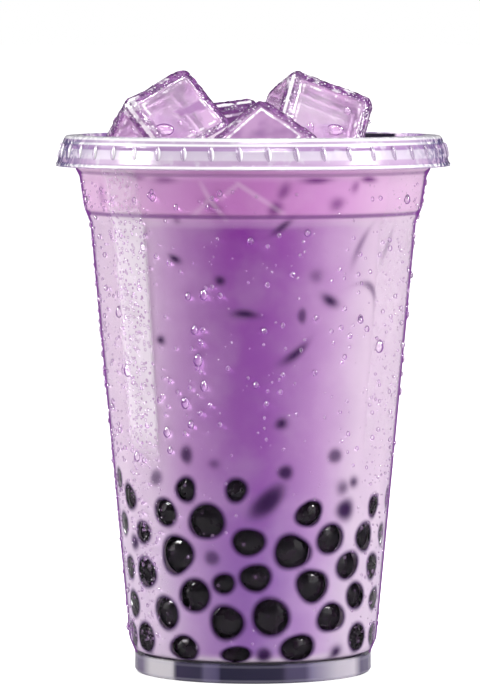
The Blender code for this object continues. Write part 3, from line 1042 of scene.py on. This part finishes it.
@dataclass(frozen=True)
class Pearl:
    """One pearl against the wall: angle round from the front, height, width and tallness."""

    degrees: float
    height: float
    width: float
    tall: float = 1.0
    lean: float = 0.0
    oval: Point = (0.0, 0.0)
    pear: Point = (0.0, 0.0)


@dataclass
class PearlHeap:
    """The heap of tapioca pearls: those that touch the wall, over a core of milk.

    Each one in front is an angle in degrees, a height and a width in millimetres. Sunk and
    squat name some of them by their place in that list.
    """

    cup: Cup
    top: float = 56.0
    sizes: Point = (7.4, 9.4)
    spacing: float = 11.3
    tries: int = 4000
    seed: int = 7
    gap: float = 0.3
    flat: float = 0.62
    swell: float = 1.08
    far: float = 6.0
    front: tuple[Triple, ...] = (
        (-60, 10.4, 8.8), (-34, 8.8, 9.6), (-8, 7.7, 8.2), (21, 9.2, 9.6), (57, 10.6, 8.4),
        (-43, 17.6, 8.8), (-12, 15.9, 9.0), (8, 17.4, 10.0), (38, 16.6, 9.0), (-70, 18.6, 7.6),
        (-27, 22.7, 9.2), (27, 25.2, 9.6), (53, 21.6, 7.8), (-13, 26.0, 6.0), (1, 27.6, 8.8),
        (-55, 27.6, 8.8), (46, 29.8, 8.0), (-35, 33.0, 10.6), (17, 34.2, 9.6), (-2, 36.8, 8.8),
        (35, 37.1, 8.4), (56, 36.8, 7.8), (-55, 38.0, 6.4), (-20, 42.0, 9.8), (24, 43.9, 8.8),
        (-40, 43.8, 7.8), (6, 47.4, 7.6), (42, 44.4, 5.6), (-29, 50.0, 6.4), (-7, 50.2, 6.2),
        (-64, 46.8, 6.6), (-71, 28.1, 6.4), (-74, 39.4, 6.6), (-76, 51.0, 5.6), (-76, 10.4, 7.0),
        (62, 44.6, 5.6), (76, 10.2, 7.0), (72, 19.9, 6.8), (66, 28.7, 6.8), (75, 36.5, 5.8),
        (81, 45.6, 5.6),
    )
    sunk: tuple[int, ...] = (26, 27)
    squat: dict[int, float] = field(default_factory=lambda: {19: 0.80, 24: 0.78, 14: 0.88})
    finish: TapiocaFinish = field(default_factory=TapiocaFinish)
    pearls: list[Pearl] = field(default_factory=list)

    def arrange(self) -> None:
        """Lay out the pearls: those the front shows, then a seeded fill all round."""
        low = self.cup.floor_top + self.gap

        def centre(degrees: float, height: float, size: float) -> Vector:
            """Centre of a ball of that size against the wall, in millimetres."""
            return self.cup.on_wall(degrees, height, self.gap + size / 2) / MM

        placed = [(centre(*spot), *spot) for spot in self.front]
        draw = random.Random(self.seed)
        for _ in range(self.tries):
            size = draw.uniform(*self.sizes)
            degrees = math.degrees(draw.uniform(-math.pi, math.pi))
            height = draw.uniform(low + size / 2, self.top - size / 2)
            here = centre(degrees, height, size)
            if all((here - other[0]).length > self.spacing for other in placed):
                placed.append((here, degrees, height, size))
        shape = random.Random(self.seed + 1)
        for index, (_, degrees, height, size) in enumerate(placed):
            room = (height - low) / (size / 2)
            tall = min(shape.uniform(0.90, 1.06) * self.squat.get(index, 1.0), room)
            lean = shape.uniform(-30, 30) * (1.0 if room > 1.1 else 0.2)
            self.pearls.append(
                Pearl(
                    degrees, height, size, tall, lean,
                    (shape.uniform(0.01, 0.08), shape.uniform(0, 3)),
                    (shape.uniform(0.01, 0.055), shape.uniform(0, 3)),
                )
            )

    def build(self) -> None:
        """Model and dress the pearls."""
        self.arrange()
        pearl = ball("pearl", 22, 14)
        places = []
        for item in self.pearls:
            half = item.width / 2
            depth = half * self.flat
            wide = self.swell * half * MM
            size = (depth * MM, wide, wide * item.tall)
            places.append(
                self.cup.seat(item.degrees, item.height, depth + 0.10, size, item.lean)
            )
        piece = scatter("pearls", pearl, places)
        hand_in(piece, Slot.PEARL, self.finish.material("tapioca_black"), "tapioca_pearls")

    def gap_to_pearl(self, points: np.ndarray) -> np.ndarray:
        """Distance of points on the wall from the outline of the nearest pearl.

        Args:
            points: Rows of x, y, z in metres.

        Returns:
            Distances in millimetres, negative over a pearl.
        """
        skin = on_skin(points)
        nearest = np.full(len(points), self.far)
        for item in (pearl for i, pearl in enumerate(self.pearls) if i not in self.sunk):
            u, v = from_spot(skin, item.degrees, item.height, item.lean)
            half = item.width / 2
            bearing = np.arctan2(v, u)
            outline = 1.0 + item.oval[0] * np.cos(2 * (bearing - item.oval[1]))
            outline += item.pear[0] * np.cos(3 * (bearing - item.pear[1]))
            rho = np.hypot(u / half, v / (half * item.tall)) / outline
            nearest = np.minimum(nearest, (rho - 0.95) * half)
        return nearest


# Milk tea


@dataclass(frozen=True)
class Fleck:
    """A bit of tapioca or ice sunk in the milk near the wall, in degrees and millimetres."""

    degrees: float
    height: float
    length: float
    width: float
    tilt: float
    strength: float
    bend: float = 0.0


@dataclass
class MilkTea:
    """The milk tea up to its level, with pearls, flecks and ice showing through its skin.

    An ice edge is the angle and height of both of its ends.
    """

    cup: Cup
    heap: PearlHeap
    steps: int = 440
    row: float = 0.66
    flecks: tuple[Fleck, ...] = (
        Fleck(-29, 109.2, 3.2, 1.6, -25, 0.85), Fleck(-12, 103.8, 2.3, 2.0, 0, 0.75),
        Fleck(-3, 95.4, 5.6, 1.9, -4, 0.95), Fleck(-27, 119.1, 1.8, 1.5, 0, 0.4),
        Fleck(-37, 88.3, 2.4, 2.0, 0, 0.8), Fleck(10, 117.5, 5.2, 1.5, 38, 0.7),
        Fleck(21, 129.2, 6.8, 1.4, 0, 0.85), Fleck(41, 129.3, 4.6, 1.4, -4, 0.8),
        Fleck(10, 126.5, 4.2, 2.4, 62, 0.6), Fleck(7.2, 122.1, 3.6, 2.6, 48, 0.75),
        Fleck(-13.4, 122.4, 5.0, 2.8, -35, 0.5), Fleck(-30, 129.3, 5.8, 1.6, 0, 0.55),
        Fleck(-41, 129.7, 5.0, 1.1, 0, 0.5), Fleck(35.6, 127.5, 2.8, 2.0, 60, 0.5),
        Fleck(29, 123.2, 3.8, 3.0, 20, 0.6), Fleck(23, 104.9, 3.2, 3.0, 0, 0.4),
        Fleck(29, 98.5, 4.8, 2.4, -28, 0.85), Fleck(18, 94.8, 2.2, 3.6, 0, 0.6),
        Fleck(41, 112.5, 8.6, 1.6, 60, 0.45), Fleck(56, 112.2, 7.4, 1.4, 62, 0.5),
        Fleck(48, 101.6, 7.0, 1.8, -38, 0.55, 0.09), Fleck(16, 85.1, 7.2, 2.0, 38, 0.85),
        Fleck(11, 67.3, 2.9, 2.4, 30, 0.85), Fleck(-16, 56.9, 2.6, 2.1, 0, 0.45),
        Fleck(-28, 59.0, 3.4, 4.4, 0, 0.7), Fleck(13, 54.7, 3.8, 3.6, 0, 0.75),
        Fleck(35, 58.6, 4.2, 3.6, 0, 0.65), Fleck(46, 51.4, 3.0, 2.6, 0, 0.7),
        Fleck(-18, 32.6, 3.8, 3.6, 0, 0.6), Fleck(6, 47.2, 10.6, 5.0, 44, 0.97),
        Fleck(42, 44.4, 5.8, 5.4, 0, 0.92), Fleck(40, 50.1, 3.6, 3.4, 0, 0.6),
        Fleck(5, 7.5, 3.8, 3.8, 0, 0.95), Fleck(-44, 52.6, 4.4, 3.6, 40, 0.6),
        Fleck(42, 7.4, 3.8, 3.0, 30, 0.8),
        Fleck(-63, 35.0, 4.2, 4.0, 0, 0.85), Fleck(-62, 125.0, 4.5, 3.0, 80, 0.4),
    )
    # Edges of sunk ice that get a painted highlight on the milk.
    ice_edges: tuple[Quad, ...] = (
        (-5.0, 128.4, 10.2, 120.8), (-5.0, 128.4, -11.0, 124.6), (-14.6, 124.4, -17.4, 128.6),
        (-14.6, 124.4, -20.8, 120.2), (-14.6, 124.4, -9.4, 119.4), (96.0, 128.8, 108.0, 121.4),
        (96.0, 128.8, 88.0, 123.0), (160.0, 127.0, 172.0, 120.6), (160.0, 127.0, 152.0, 121.0),
        (-128.0, 128.0, -118.0, 120.8), (-128.0, 128.0, -137.0, 122.0),
    )
    bite: float = 0.10
    core_inset: float = 2.6
    random_flecks: int = 26
    fleck_arc: Point = (75, 285)
    fleck_heights: Point = (56, 130)
    random_pearls: int = 26
    pearl_arc: Point = (86, 274)
    pearl_heights: Point = (9, 60)
    tilts: Point = (-60, 60)
    fleck_seed: int = 12
    finish: MilkFinish = field(default_factory=MilkFinish)

    def profile(self) -> list[Point]:
        """Section of the milk from the floor's middle to the surface's middle."""
        level = self.cup.level
        low = self.cup.floor_top - self.bite
        heights = np.arange(low + 0.05, level, self.row)
        radii = self.cup.inside(np.maximum(heights, self.cup.floor_top + 0.01)) + self.bite
        wall = list(zip(radii.tolist(), heights.tolist()))
        edge = float(self.cup.inside(level)) + self.bite
        meniscus = [(edge - 0.05, level + 0.35), (edge - 0.6, level + 0.08)]
        surface = [(edge - 1.6, level)]
        surface += [(radius, level) for radius in np.linspace(edge - 3.0, 2.0, 18)]
        floor = [(radius, low) for radius in np.linspace(0.0, wall[0][0] - 1.0, 6)]
        return floor + wall + meniscus + surface + [(0.0, level)]

    def shade_at(self, points: np.ndarray) -> np.ndarray:
        """Darkness of the sunk flecks at points on the wall, from 0 to 1."""
        skin = on_skin(points)
        dark = np.zeros(len(points))
        for fleck in self.all_flecks():
            u, v = from_spot(skin, fleck.degrees, fleck.height, fleck.tilt)
            v = v + (fleck.bend + 0.02 * math.sin(7.0 * fleck.height)) * u * u
            taper = 1.0 + 0.28 * math.sin(3.0 * fleck.height) * u / fleck.length
            rho = np.hypot(u / (fleck.length / 2), v / (fleck.width / 2) / taper)
            depth = min(fleck.strength * 1.3, 1.0)
            fall = 2.4 if fleck.width < 3.5 else 4.0
            dark = np.maximum(dark, depth * np.exp(-0.6 * rho**fall))
        return dark

    def all_flecks(self) -> list[Fleck]:
        """The flecks that the front shows and a seeded scatter round the rest."""
        draw = random.Random(self.fleck_seed)
        found = list(self.flecks)
        for _ in range(self.random_flecks):
            long = draw.uniform(2.0, 6.5)
            degrees = draw.uniform(*self.fleck_arc)
            height = draw.uniform(*self.fleck_heights)
            wide = draw.uniform(1.5, 2.6)
            tilt = draw.uniform(*self.tilts)
            found.append(Fleck(degrees, height, long, wide, tilt, draw.uniform(0.35, 0.85)))
        for _ in range(self.random_pearls):
            wide = draw.uniform(3.6, 5.6)
            degrees = draw.uniform(*self.pearl_arc)
            height = draw.uniform(*self.pearl_heights)
            long = wide * draw.uniform(1.0, 1.25)
            tilt = draw.uniform(*self.tilts)
            found.append(Fleck(degrees, height, long, wide, tilt, draw.uniform(0.45, 0.75)))
        return found

    def glow_at(self, points: np.ndarray) -> np.ndarray:
        """Painted highlight along the edges of the ice that show through the milk under the bead."""
        angle, height, _ = on_skin(points)
        radius = float(self.cup.inside(125.0))
        spots = np.stack([np.radians(angle) * radius, height], axis=1)
        bright = np.zeros(len(points))
        for start, low, end, high in self.ice_edges:
            first = np.array([math.radians(start) * radius, low])
            along = np.array([math.radians(end) * radius, high]) - first
            away = spots - first
            part = np.clip(away @ along / (along @ along), 0.0, 1.0)
            distance = np.linalg.norm(away - part[:, None] * along, axis=1)
            fade = 0.27 * (1.0 - 0.5 * part)
            bright = np.maximum(bright, fade * np.clip(1.3 - distance / 0.7, 0.0, 1.0))
        return bright

    def build(self, pockets: Iterable[Piece]) -> None:
        """Model and dress the milk, cut round the ice.

        Args:
            pockets: Closed shapes a little smaller than the ice cubes.
        """
        piece = lathe("milk_tea_body", self.profile(), self.steps)
        for pocket in pockets:
            cut = piece.modifiers.new(pocket.name, "BOOLEAN")
            cut.operation = "DIFFERENCE"
            cut.object = pocket
            cut.solver = "MANIFOLD"
            pick(piece)
            bpy.ops.object.modifier_apply(modifier=cut.name)
            bpy.data.objects.remove(pocket, do_unlink=True)
        points = points_of(piece)
        _, height, radius = on_skin(points)
        side = radius > self.cup.inside(height) - 0.3
        store(
            piece,
            pearl_gap=np.where(side, self.heap.gap_to_pearl(points), self.heap.far),
            shade=np.where(side, self.shade_at(points), 0.0),
            glow=np.where(side, self.glow_at(points), 0.0),
        )
        hand_in(piece, Slot.MILK, self.finish.material("taro_milk"), "milk_tea")
        self.build_core()

    def build_core(self) -> None:
        """The milk between the pearls, behind the openings over them."""
        low = self.cup.floor_top + 0.4
        heights = np.linspace(low, self.heap.top + 2.0, 16)
        wall = [(float(self.cup.inside(z)) - self.core_inset, float(z)) for z in heights]
        profile = [(0.0, low)] + wall + [(0.0, wall[-1][1])]
        core = lathe("milk_between_pearls", profile, 96)
        closed = replace(self.finish, windows=False)
        hand_in(core, Slot.MILK, closed.material("taro_milk_deep"))


# Ice


@dataclass(frozen=True)
class Cube:
    """An ice cube: its node, centre and edges in millimetres and its roll, pitch and yaw.

    The last number is the share of its faces that the tea colours.
    """

    node: str
    centre: Triple
    edges: Triple
    turn: Triple
    tea: float


@dataclass
class Ice:
    """The ice cubes that stand out of the drink, with their bubbles.

    Marks and domes are placed by millimetres to the right and up, as seen from the front. A
    dome then has its width and tallness. Waves and grit are a pitch and a depth.
    """

    bevel: float = 3.4
    cuts: int = 27
    pocket_cuts: int = 9
    pocket_inset: float = 0.75
    melt: float = 0.25
    waves: Point = (0.13, 0.35)
    grit: Point = (0.75, 0.28)
    cubes: tuple[Cube, ...] = (
        Cube("ice_left", (-22.2, 2.8, 140.4), (23.4, 22.0, 22.0), (-29, -30, 20), 0.15),
        Cube("ice_right", (15.5, 8.4, 141.1), (24.6, 22.0, 22.0), (21, -17, 20), 0.10),
        Cube("ice_front", (2.8, -23.6, 132.9), (22.0, 22.0, 22.0), (41, -40, -3), 0.90),
        Cube("ice_back", (-8.0, 31.0, 139.0), (18.0, 18.0, 18.0), (-8, -6, 24), 1.0),
    )
    marks: tuple[tuple[Point, Point, Point, Point], ...] = (
        ((-20.6, 146.0), (-12.4, 149.9), (-10.2, 147.1), (-18.6, 144.7)),
    )
    domes: tuple[Quad, ...] = (
        (-23.0, 141.4, 5.2, 3.2), (-30.2, 141.2, 2.3, 2.1), (-15.5, 140.6, 1.9, 1.8),
        (24.5, 146.0, 2.1, 2.1), (21.1, 141.2, 4.8, 3.0), (14.9, 141.6, 1.8, 3.0),
        (-19.0, 143.0, 1.3, 1.3), (30.2, 143.2, 1.2, 1.2),
    )
    before: float = 70.0
    bubbles_each: int = 16
    bubble_depth: float = 3.2
    bubble_sizes: Point = (0.18, 0.6)
    seed: int = 5
    finish: IceFinish = field(default_factory=IceFinish)
    air: AirFinish = field(default_factory=AirFinish)
    dome: DewFinish = field(default_factory=DewFinish)

    def place(self, cube: Cube) -> Matrix:
        """Where a cube lies."""
        roll, pitch, yaw = cube.turn
        turn = Euler([math.radians(a) for a in (pitch, roll, yaw)], "YXZ").to_matrix().to_4x4()
        return Matrix.Translation(Vector(cube.centre) * MM) @ turn

    def block(self, name: str, cube: Cube, cuts: int, shrink: float) -> Piece:
        """A rounded block about its own centre.

        Args:
            name: Its name.
            cube: The cube that it is for.
            cuts: Cuts across each face.
            shrink: Millimetres taken off every side.

        Returns:
            The block, not yet placed.
        """
        deselect()
        bpy.ops.mesh.primitive_cube_add(size=MM)
        piece = bpy.context.object
        piece.name = name
        bpy.ops.object.mode_set(mode="EDIT")
        bpy.ops.mesh.select_all(action="SELECT")
        bpy.ops.mesh.subdivide(number_cuts=cuts)
        bpy.ops.object.mode_set(mode="OBJECT")
        points = points_of(piece) / MM * np.array(cube.edges)
        core = np.array(cube.edges) / 2 - self.bevel
        inner = np.clip(points, -core, core)
        out = points - inner
        length = np.linalg.norm(out, axis=1, keepdims=True)
        out = out / np.maximum(length, 1e-9) * (self.bevel - shrink)
        set_points(piece, (inner + out) * MM)
        return piece

    def weather(self, piece: Piece, cube: Cube, shift: float) -> None:
        """Melt the faces into shallow waves and roughen the rounded edges.

        Args:
            piece: The rounded block.
            cube: The cube that it is for.
            shift: Offset that gives each cube its own relief.
        """
        points = points_of(piece) / MM
        core = np.array(cube.edges) / 2 - self.bevel
        rim = np.sort(np.abs(points) - core, axis=1)[:, 1]
        frost = np.clip(rim / 1.2 + 0.4, 0.0, 1.0)
        normals = np.empty(len(points) * 3)
        piece.data.vertices.foreach_get("normal", normals)
        normals = normals.reshape(-1, 3)
        pitch, swell = self.waves
        wave = [noise.noise(Vector(p) * pitch + Vector((shift, 0, 0))) for p in points]
        pitch, bite = self.grit
        rough = [noise.noise(Vector(p) * pitch + Vector((0, shift, 0))) for p in points]
        relief = -self.melt + swell * np.array(wave) + bite * np.array(rough) * frost
        set_points(piece, (points + normals * relief[:, None]) * MM)
        store(piece, rim=rim, tea=np.full(len(points), cube.tea))

    def mark_at(self, points: np.ndarray) -> np.ndarray:
        """Darkness of the cubes seen through the ice, on the faces towards the front.

        Args:
            points: Rows of x, y, z in metres.

        Returns:
            Darkness of each point, from 0 to 1.
        """
        flat = points[:, [0, 2]] / MM
        dark = np.zeros(len(points))
        for corners in self.marks:
            depth = np.full(len(points), 9.0)
            for start, end in zip(corners, corners[1:] + corners[:1]):
                along = np.array(end) - np.array(start)
                away = flat - np.array(start)
                side = (along[1] * away[:, 0] - along[0] * away[:, 1]) / np.linalg.norm(along)
                depth = np.minimum(depth, side)
            dark = np.maximum(dark, np.clip(depth / 0.5 + 0.5, 0.0, 1.0))
        return dark

    def build(self) -> list[Piece]:
        """Model and dress the cubes.

        Returns:
            Shapes that cut the milk round each cube.
        """
        material = self.finish.material("tinted_ice")
        blocks = []
        pockets = []
        for index, cube in enumerate(self.cubes):
            piece = self.block(f"{cube.node}_clear", cube, self.cuts, 0.0)
            self.weather(piece, cube, 7.3 * index + 2.0)
            piece.data.transform(self.place(cube))
            points = points_of(piece)
            store(piece, mark=self.mark_at(points) * (points[:, 1] < cube.centre[1] * MM))
            pick(piece)
            bpy.ops.object.shade_smooth()
            hand_in(piece, Slot.ICE, material, cube.node)
            blocks.append(piece)
            pocket = self.block(f"{cube.node}_pocket", cube, self.pocket_cuts, self.pocket_inset)
            pocket.data.transform(self.place(cube))
            pockets.append(pocket)
        self.build_bubbles()
        self.build_domes(blocks)
        return pockets

    def build_domes(self, blocks: Sequence[Piece]) -> None:
        """Larger bubbles that bulge at the front faces of the cubes.

        Args:
            blocks: The cubes' pieces.
        """
        places = []
        for x, z, width, tall in self.domes:
            start = Vector((x, -self.before, z)) * MM
            hits = [block.ray_cast(start, Vector((0.0, 1.0, 0.0))) for block in blocks]
            found = [hit[1] for hit in hits if hit[0]]
            if not found:
                continue
            spot = min(found, key=lambda place: place.y)
            size = Matrix.Diagonal((width / 2 * MM, width / 5 * MM, tall / 2 * MM, 1.0))
            places.append(Matrix.Translation(spot) @ size)
        piece = scatter("ice_domes", ball("dome", 20, 12), places)
        hand_in(piece, Slot.ICE, self.dome.material("bubble_wall"))

    def build_bubbles(self) -> None:
        """Small air bubbles frozen near the faces of the cubes."""
        draw = random.Random(self.seed)
        places = []
        for cube in self.cubes:
            for _ in range(self.bubbles_each):
                reach = [edge / 2 - self.bubble_depth for edge in cube.edges]
                spot = Vector([draw.uniform(-far, far) for far in reach])
                axis = draw.randrange(3)
                spot[axis] = math.copysign(reach[axis], spot[axis])
                size = draw.uniform(*self.bubble_sizes) * MM
                spot_at = Matrix.Translation(spot * MM)
                places.append(self.place(cube) @ spot_at @ Matrix.Scale(size, 4))
        piece = scatter("ice_bubbles", ball("bubble", 12, 8), places)
        hand_in(piece, Slot.ICE, self.air.material("air_in_ice"))


# Condensation


@dataclass
class Dew:
    """Drops of condensation on the outside of the cup.

    Each drop in front is an angle, a height, a width and a tallness. A patch of small ones is
    the angle of its middle and its spread.
    """

    cup: Cup
    front: tuple[Quad, ...] = (
        (-21, 83.5, 2.5, 3.6), (-22, 91.2, 2.0, 2.6), (-19, 76.9, 2.0, 2.9),
        (-27, 72.4, 2.2, 3.1), (-25, 67.0, 1.8, 2.2), (-36, 64.7, 2.1, 2.9),
        (-35, 60.1, 1.6, 2.1), (-54, 57.8, 2.0, 2.9), (-56, 80.0, 2.4, 3.6),
        (-59, 94.9, 2.0, 3.1), (-18, 100.2, 2.2, 2.9), (-24, 99.8, 1.6, 2.1),
        (-1, 114.0, 1.8, 1.9), (55, 86.2, 2.6, 3.6), (4, 91.1, 1.6, 1.7),
        (63, 123.8, 2.0, 2.6), (1, 77.3, 1.8, 1.9), (19, 115.9, 1.8, 1.9),
        (43, 93.3, 1.7, 1.9), (-35, 124.9, 1.8, 2.3), (-42, 112.0, 1.7, 2.2),
    )
    large_behind: int = 60
    medium: int = 330
    small: int = 2500
    patches: tuple[Point, ...] = (
        (-54.0, 7.0), (-54.0, 7.0), (66.0, 9.0), (0.0, 60.0), (180.0, 60.0), (128.0, 9.0),
        (-126.0, 9.0), (-78.0, 6.0),
    )
    seed: int = 21
    behind: Point = (75, 285)
    heights: Point = (9.0, 128.0)
    medium_heights: Point = (55.0, 128.0)
    finish: DewFinish = field(default_factory=DewFinish)
    bead_finish: DewFinish = DewFinish((0.34, 0.14, 0.42), 0.6, 0.02)

    def drop(self, name: str, segments: int, rings: int, tear: float) -> Piece:
        """A unit drop, flat against the wall, narrower at its top.

        Args:
            name: Its name.
            segments: Segments round it.
            rings: Rings from end to end.
            tear: How much its top narrows.

        Returns:
            The drop about its own centre.
        """
        piece = ball(name, segments, rings)
        points = points_of(piece)
        narrow = 1.0 - tear * np.clip((points[:, 2] + 0.3) / 1.3, 0.0, 1.0) ** 1.3
        points[:, 0] *= narrow
        points[:, 1] *= narrow
        set_points(piece, points)
        return piece

    def seat(self, degrees: float, height: float, width: float, tall: float, proud: float) -> Matrix:
        """Where a drop sits on the outside of the wall."""
        size = (proud * MM, width / 2 * MM, tall / 2 * MM)
        return self.cup.seat(degrees, height, -self.cup.wall, size)

    def build(self) -> None:
        """Model and dress the drops."""
        draw = random.Random(self.seed)
        large = [self.seat(d, z, w, t, 0.40 * w) for d, z, w, t in self.front]
        for _ in range(self.large_behind):
            width = draw.uniform(1.1, 2.1)
            degrees = draw.uniform(*self.behind)
            height = draw.uniform(*self.heights)
            tall = width * draw.uniform(1.0, 1.6)
            large.append(self.seat(degrees, height, width, tall, 0.40 * width))
        material = self.finish.material("water_drop")
        tears = scatter("dew_drops_large", self.drop("tear", 16, 12, 0.45), large)
        hand_in(tears, Slot.CUP, material)
        small = []
        for _ in range(self.medium):
            width = draw.uniform(0.8, 1.5)
            degrees = draw.uniform(-180, 180)
            tall = width * draw.uniform(1.0, 1.25)
            height = draw.uniform(*self.medium_heights)
            small.append(self.seat(degrees, height, width, tall, 0.42 * width))
        for _ in range(self.small):
            width = 0.30 + 0.6 * draw.random() ** 2.2
            tall = width * draw.uniform(0.9, 1.25)
            degrees = draw.gauss(*draw.choice(self.patches))
            height = draw.uniform(*self.heights)
            small.append(self.seat(degrees, height, width, tall, 0.4 * width))
        beads = scatter("dew_drops_small", self.drop("bead", 6, 5, 0.1), small)
        hand_in(beads, Slot.CUP, self.bead_finish.material("water_bead"))


# Studio


@dataclass(frozen=True)
class Lamp:
    """An area lamp that looks at the cup.

    It stands some degrees round from the camera's side, towards the right, and above the
    horizon. Distance and size are in metres, power in watts.
    """

    name: str
    degrees: float
    elevation: float
    distance: float
    size: Point
    power: float
    glints_only: bool = False


@dataclass
class Studio:
    """Pale floor, soft boxes at both sides and the camera."""

    eye: Triple = (-0.0034, -1.370, 0.1687)
    aim: Triple = (-0.0034, 0.0, 0.0838)
    frame_height: float = 0.1826
    sensor: float = 36.0
    lamp_aim: Triple = (0.0, 0.0, 0.075)
    lamps: tuple[Lamp, ...] = (
        Lamp("softbox_left", -95, 4, 0.8, (0.42, 1.0), 5.9),
        Lamp("softbox_right", 62, 6, 0.8, (0.55, 1.0), 6.0),
        Lamp("glint_left", -74, 26, 0.8, (0.28, 0.14), 9.0, True),
        Lamp("glint_right", 70, 28, 0.8, (0.26, 0.14), 8.5, True),
        Lamp("glint_top", 8, 50, 0.8, (0.34, 0.09), 7.0, True),
        Lamp("softbox_top", 10, 78, 0.9, (0.8, 0.8), 4.6),
    )
    ambient: float = 0.46
    reflected: float = 0.10
    sky: Colour = (1.0, 0.99, 1.0)
    floor_radius: float = 40.0
    floor_drop: float = 0.0002
    finish: FloorFinish = field(default_factory=FloorFinish)

    def add_lamp(self, lamp: Lamp) -> None:
        """Set up one lamp."""
        light = bpy.data.lights.new(lamp.name, "AREA")
        light.shape = "RECTANGLE"
        light.size, light.size_y = lamp.size
        light.energy = lamp.power
        rig = bpy.data.objects.new(lamp.name, light)
        bpy.context.scene.collection.objects.link(rig)
        rig.visible_diffuse = not lamp.glints_only
        rig.visible_transmission = not lamp.glints_only
        turn, lift = math.radians(lamp.degrees), math.radians(lamp.elevation)
        flat = math.cos(lift)
        away = Vector((math.sin(turn) * flat, -math.cos(turn) * flat, math.sin(lift)))
        rig.location = Vector(self.lamp_aim) + away * lamp.distance
        rig.rotation_euler = (-away).to_track_quat("-Z", "Y").to_euler()

    def build_world(self) -> None:
        """White behind the cup, dimmer where it lights the cup."""
        paint = Paint("studio_white", "World")
        dim = paint.ray("Is Glossy Ray").ramp(0.0, 1.0, self.ambient, self.reflected)
        lit = paint.node("ShaderNodeBackground", {}, {"Color": self.sky, "Strength": dim})
        seen = paint.node("ShaderNodeBackground", {}, {"Color": WHITE, "Strength": 1.0})
        straight = {0: paint.ray("Is Camera Ray"), 1: paint.ray("Is Transmission Ray")}
        either = paint.node("ShaderNodeMath", {"operation": "MAXIMUM"}, straight)
        bpy.context.scene.world = paint.done(paint.mix_shader(either, lit, seen))

    def build_floor(self) -> None:
        """A round sheet of pale paper under the cup."""
        deselect()
        bpy.ops.mesh.primitive_circle_add(vertices=96, radius=self.floor_radius, fill_type="NGON")
        floor = bpy.context.object
        floor.name = "paper_floor"
        floor.location = (0.0, 0.0, -self.floor_drop)
        bpy.ops.object.transform_apply(location=True, rotation=False, scale=False)
        floor.data.materials.append(self.finish.material("white_paper"))
        floor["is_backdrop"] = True

    def build_camera(self) -> None:
        """The camera at the height and distance that the perspective shows."""
        eye, aim = Vector(self.eye), Vector(self.aim)
        camera = bpy.data.cameras.new("camera")
        camera.sensor_width = self.sensor
        camera.lens = self.sensor * (aim - eye).length / self.frame_height
        camera.clip_end = 100.0
        rig = bpy.data.objects.new("camera", camera)
        bpy.context.scene.collection.objects.link(rig)
        rig.location = eye
        rig.rotation_euler = (aim - eye).to_track_quat("-Z", "Y").to_euler()
        bpy.context.scene.camera = rig

    def build(self) -> None:
        """Set up floor, lights, world and camera."""
        self.build_floor()
        self.build_world()
        self.build_camera()
        for lamp in self.lamps:
            self.add_lamp(lamp)
        scene = bpy.context.scene
        scene.view_settings.view_transform = "Standard"
        scene.view_settings.look = "None"
        scene.cycles.max_bounces = 16
        scene.cycles.transparent_max_bounces = 24
        scene.cycles.transmission_bounces = 14


def write_sizes() -> None:
    """Put the boxes of the solids and of the dressed part into plain lists."""
    boxes = {"cad": CAD_BOX, "visual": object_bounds()}
    plain = {name: [list(map(float, corner)) for corner in box] for name, box in boxes.items()}


def main() -> None:
    """Build every sub-assembly in order."""
    logging.basicConfig(level=logging.INFO, format="%(name)s %(message)s")
    Studio().build()
    cup = Cup()
    cup.build()
    LidRing().build()
    heap = PearlHeap(cup)
    heap.build()
    pockets = Ice().build()
    MilkTea(cup, heap).build(pockets)
    Dew(cup).build()
    write_sizes()


if __name__ == "__main__":
    main()
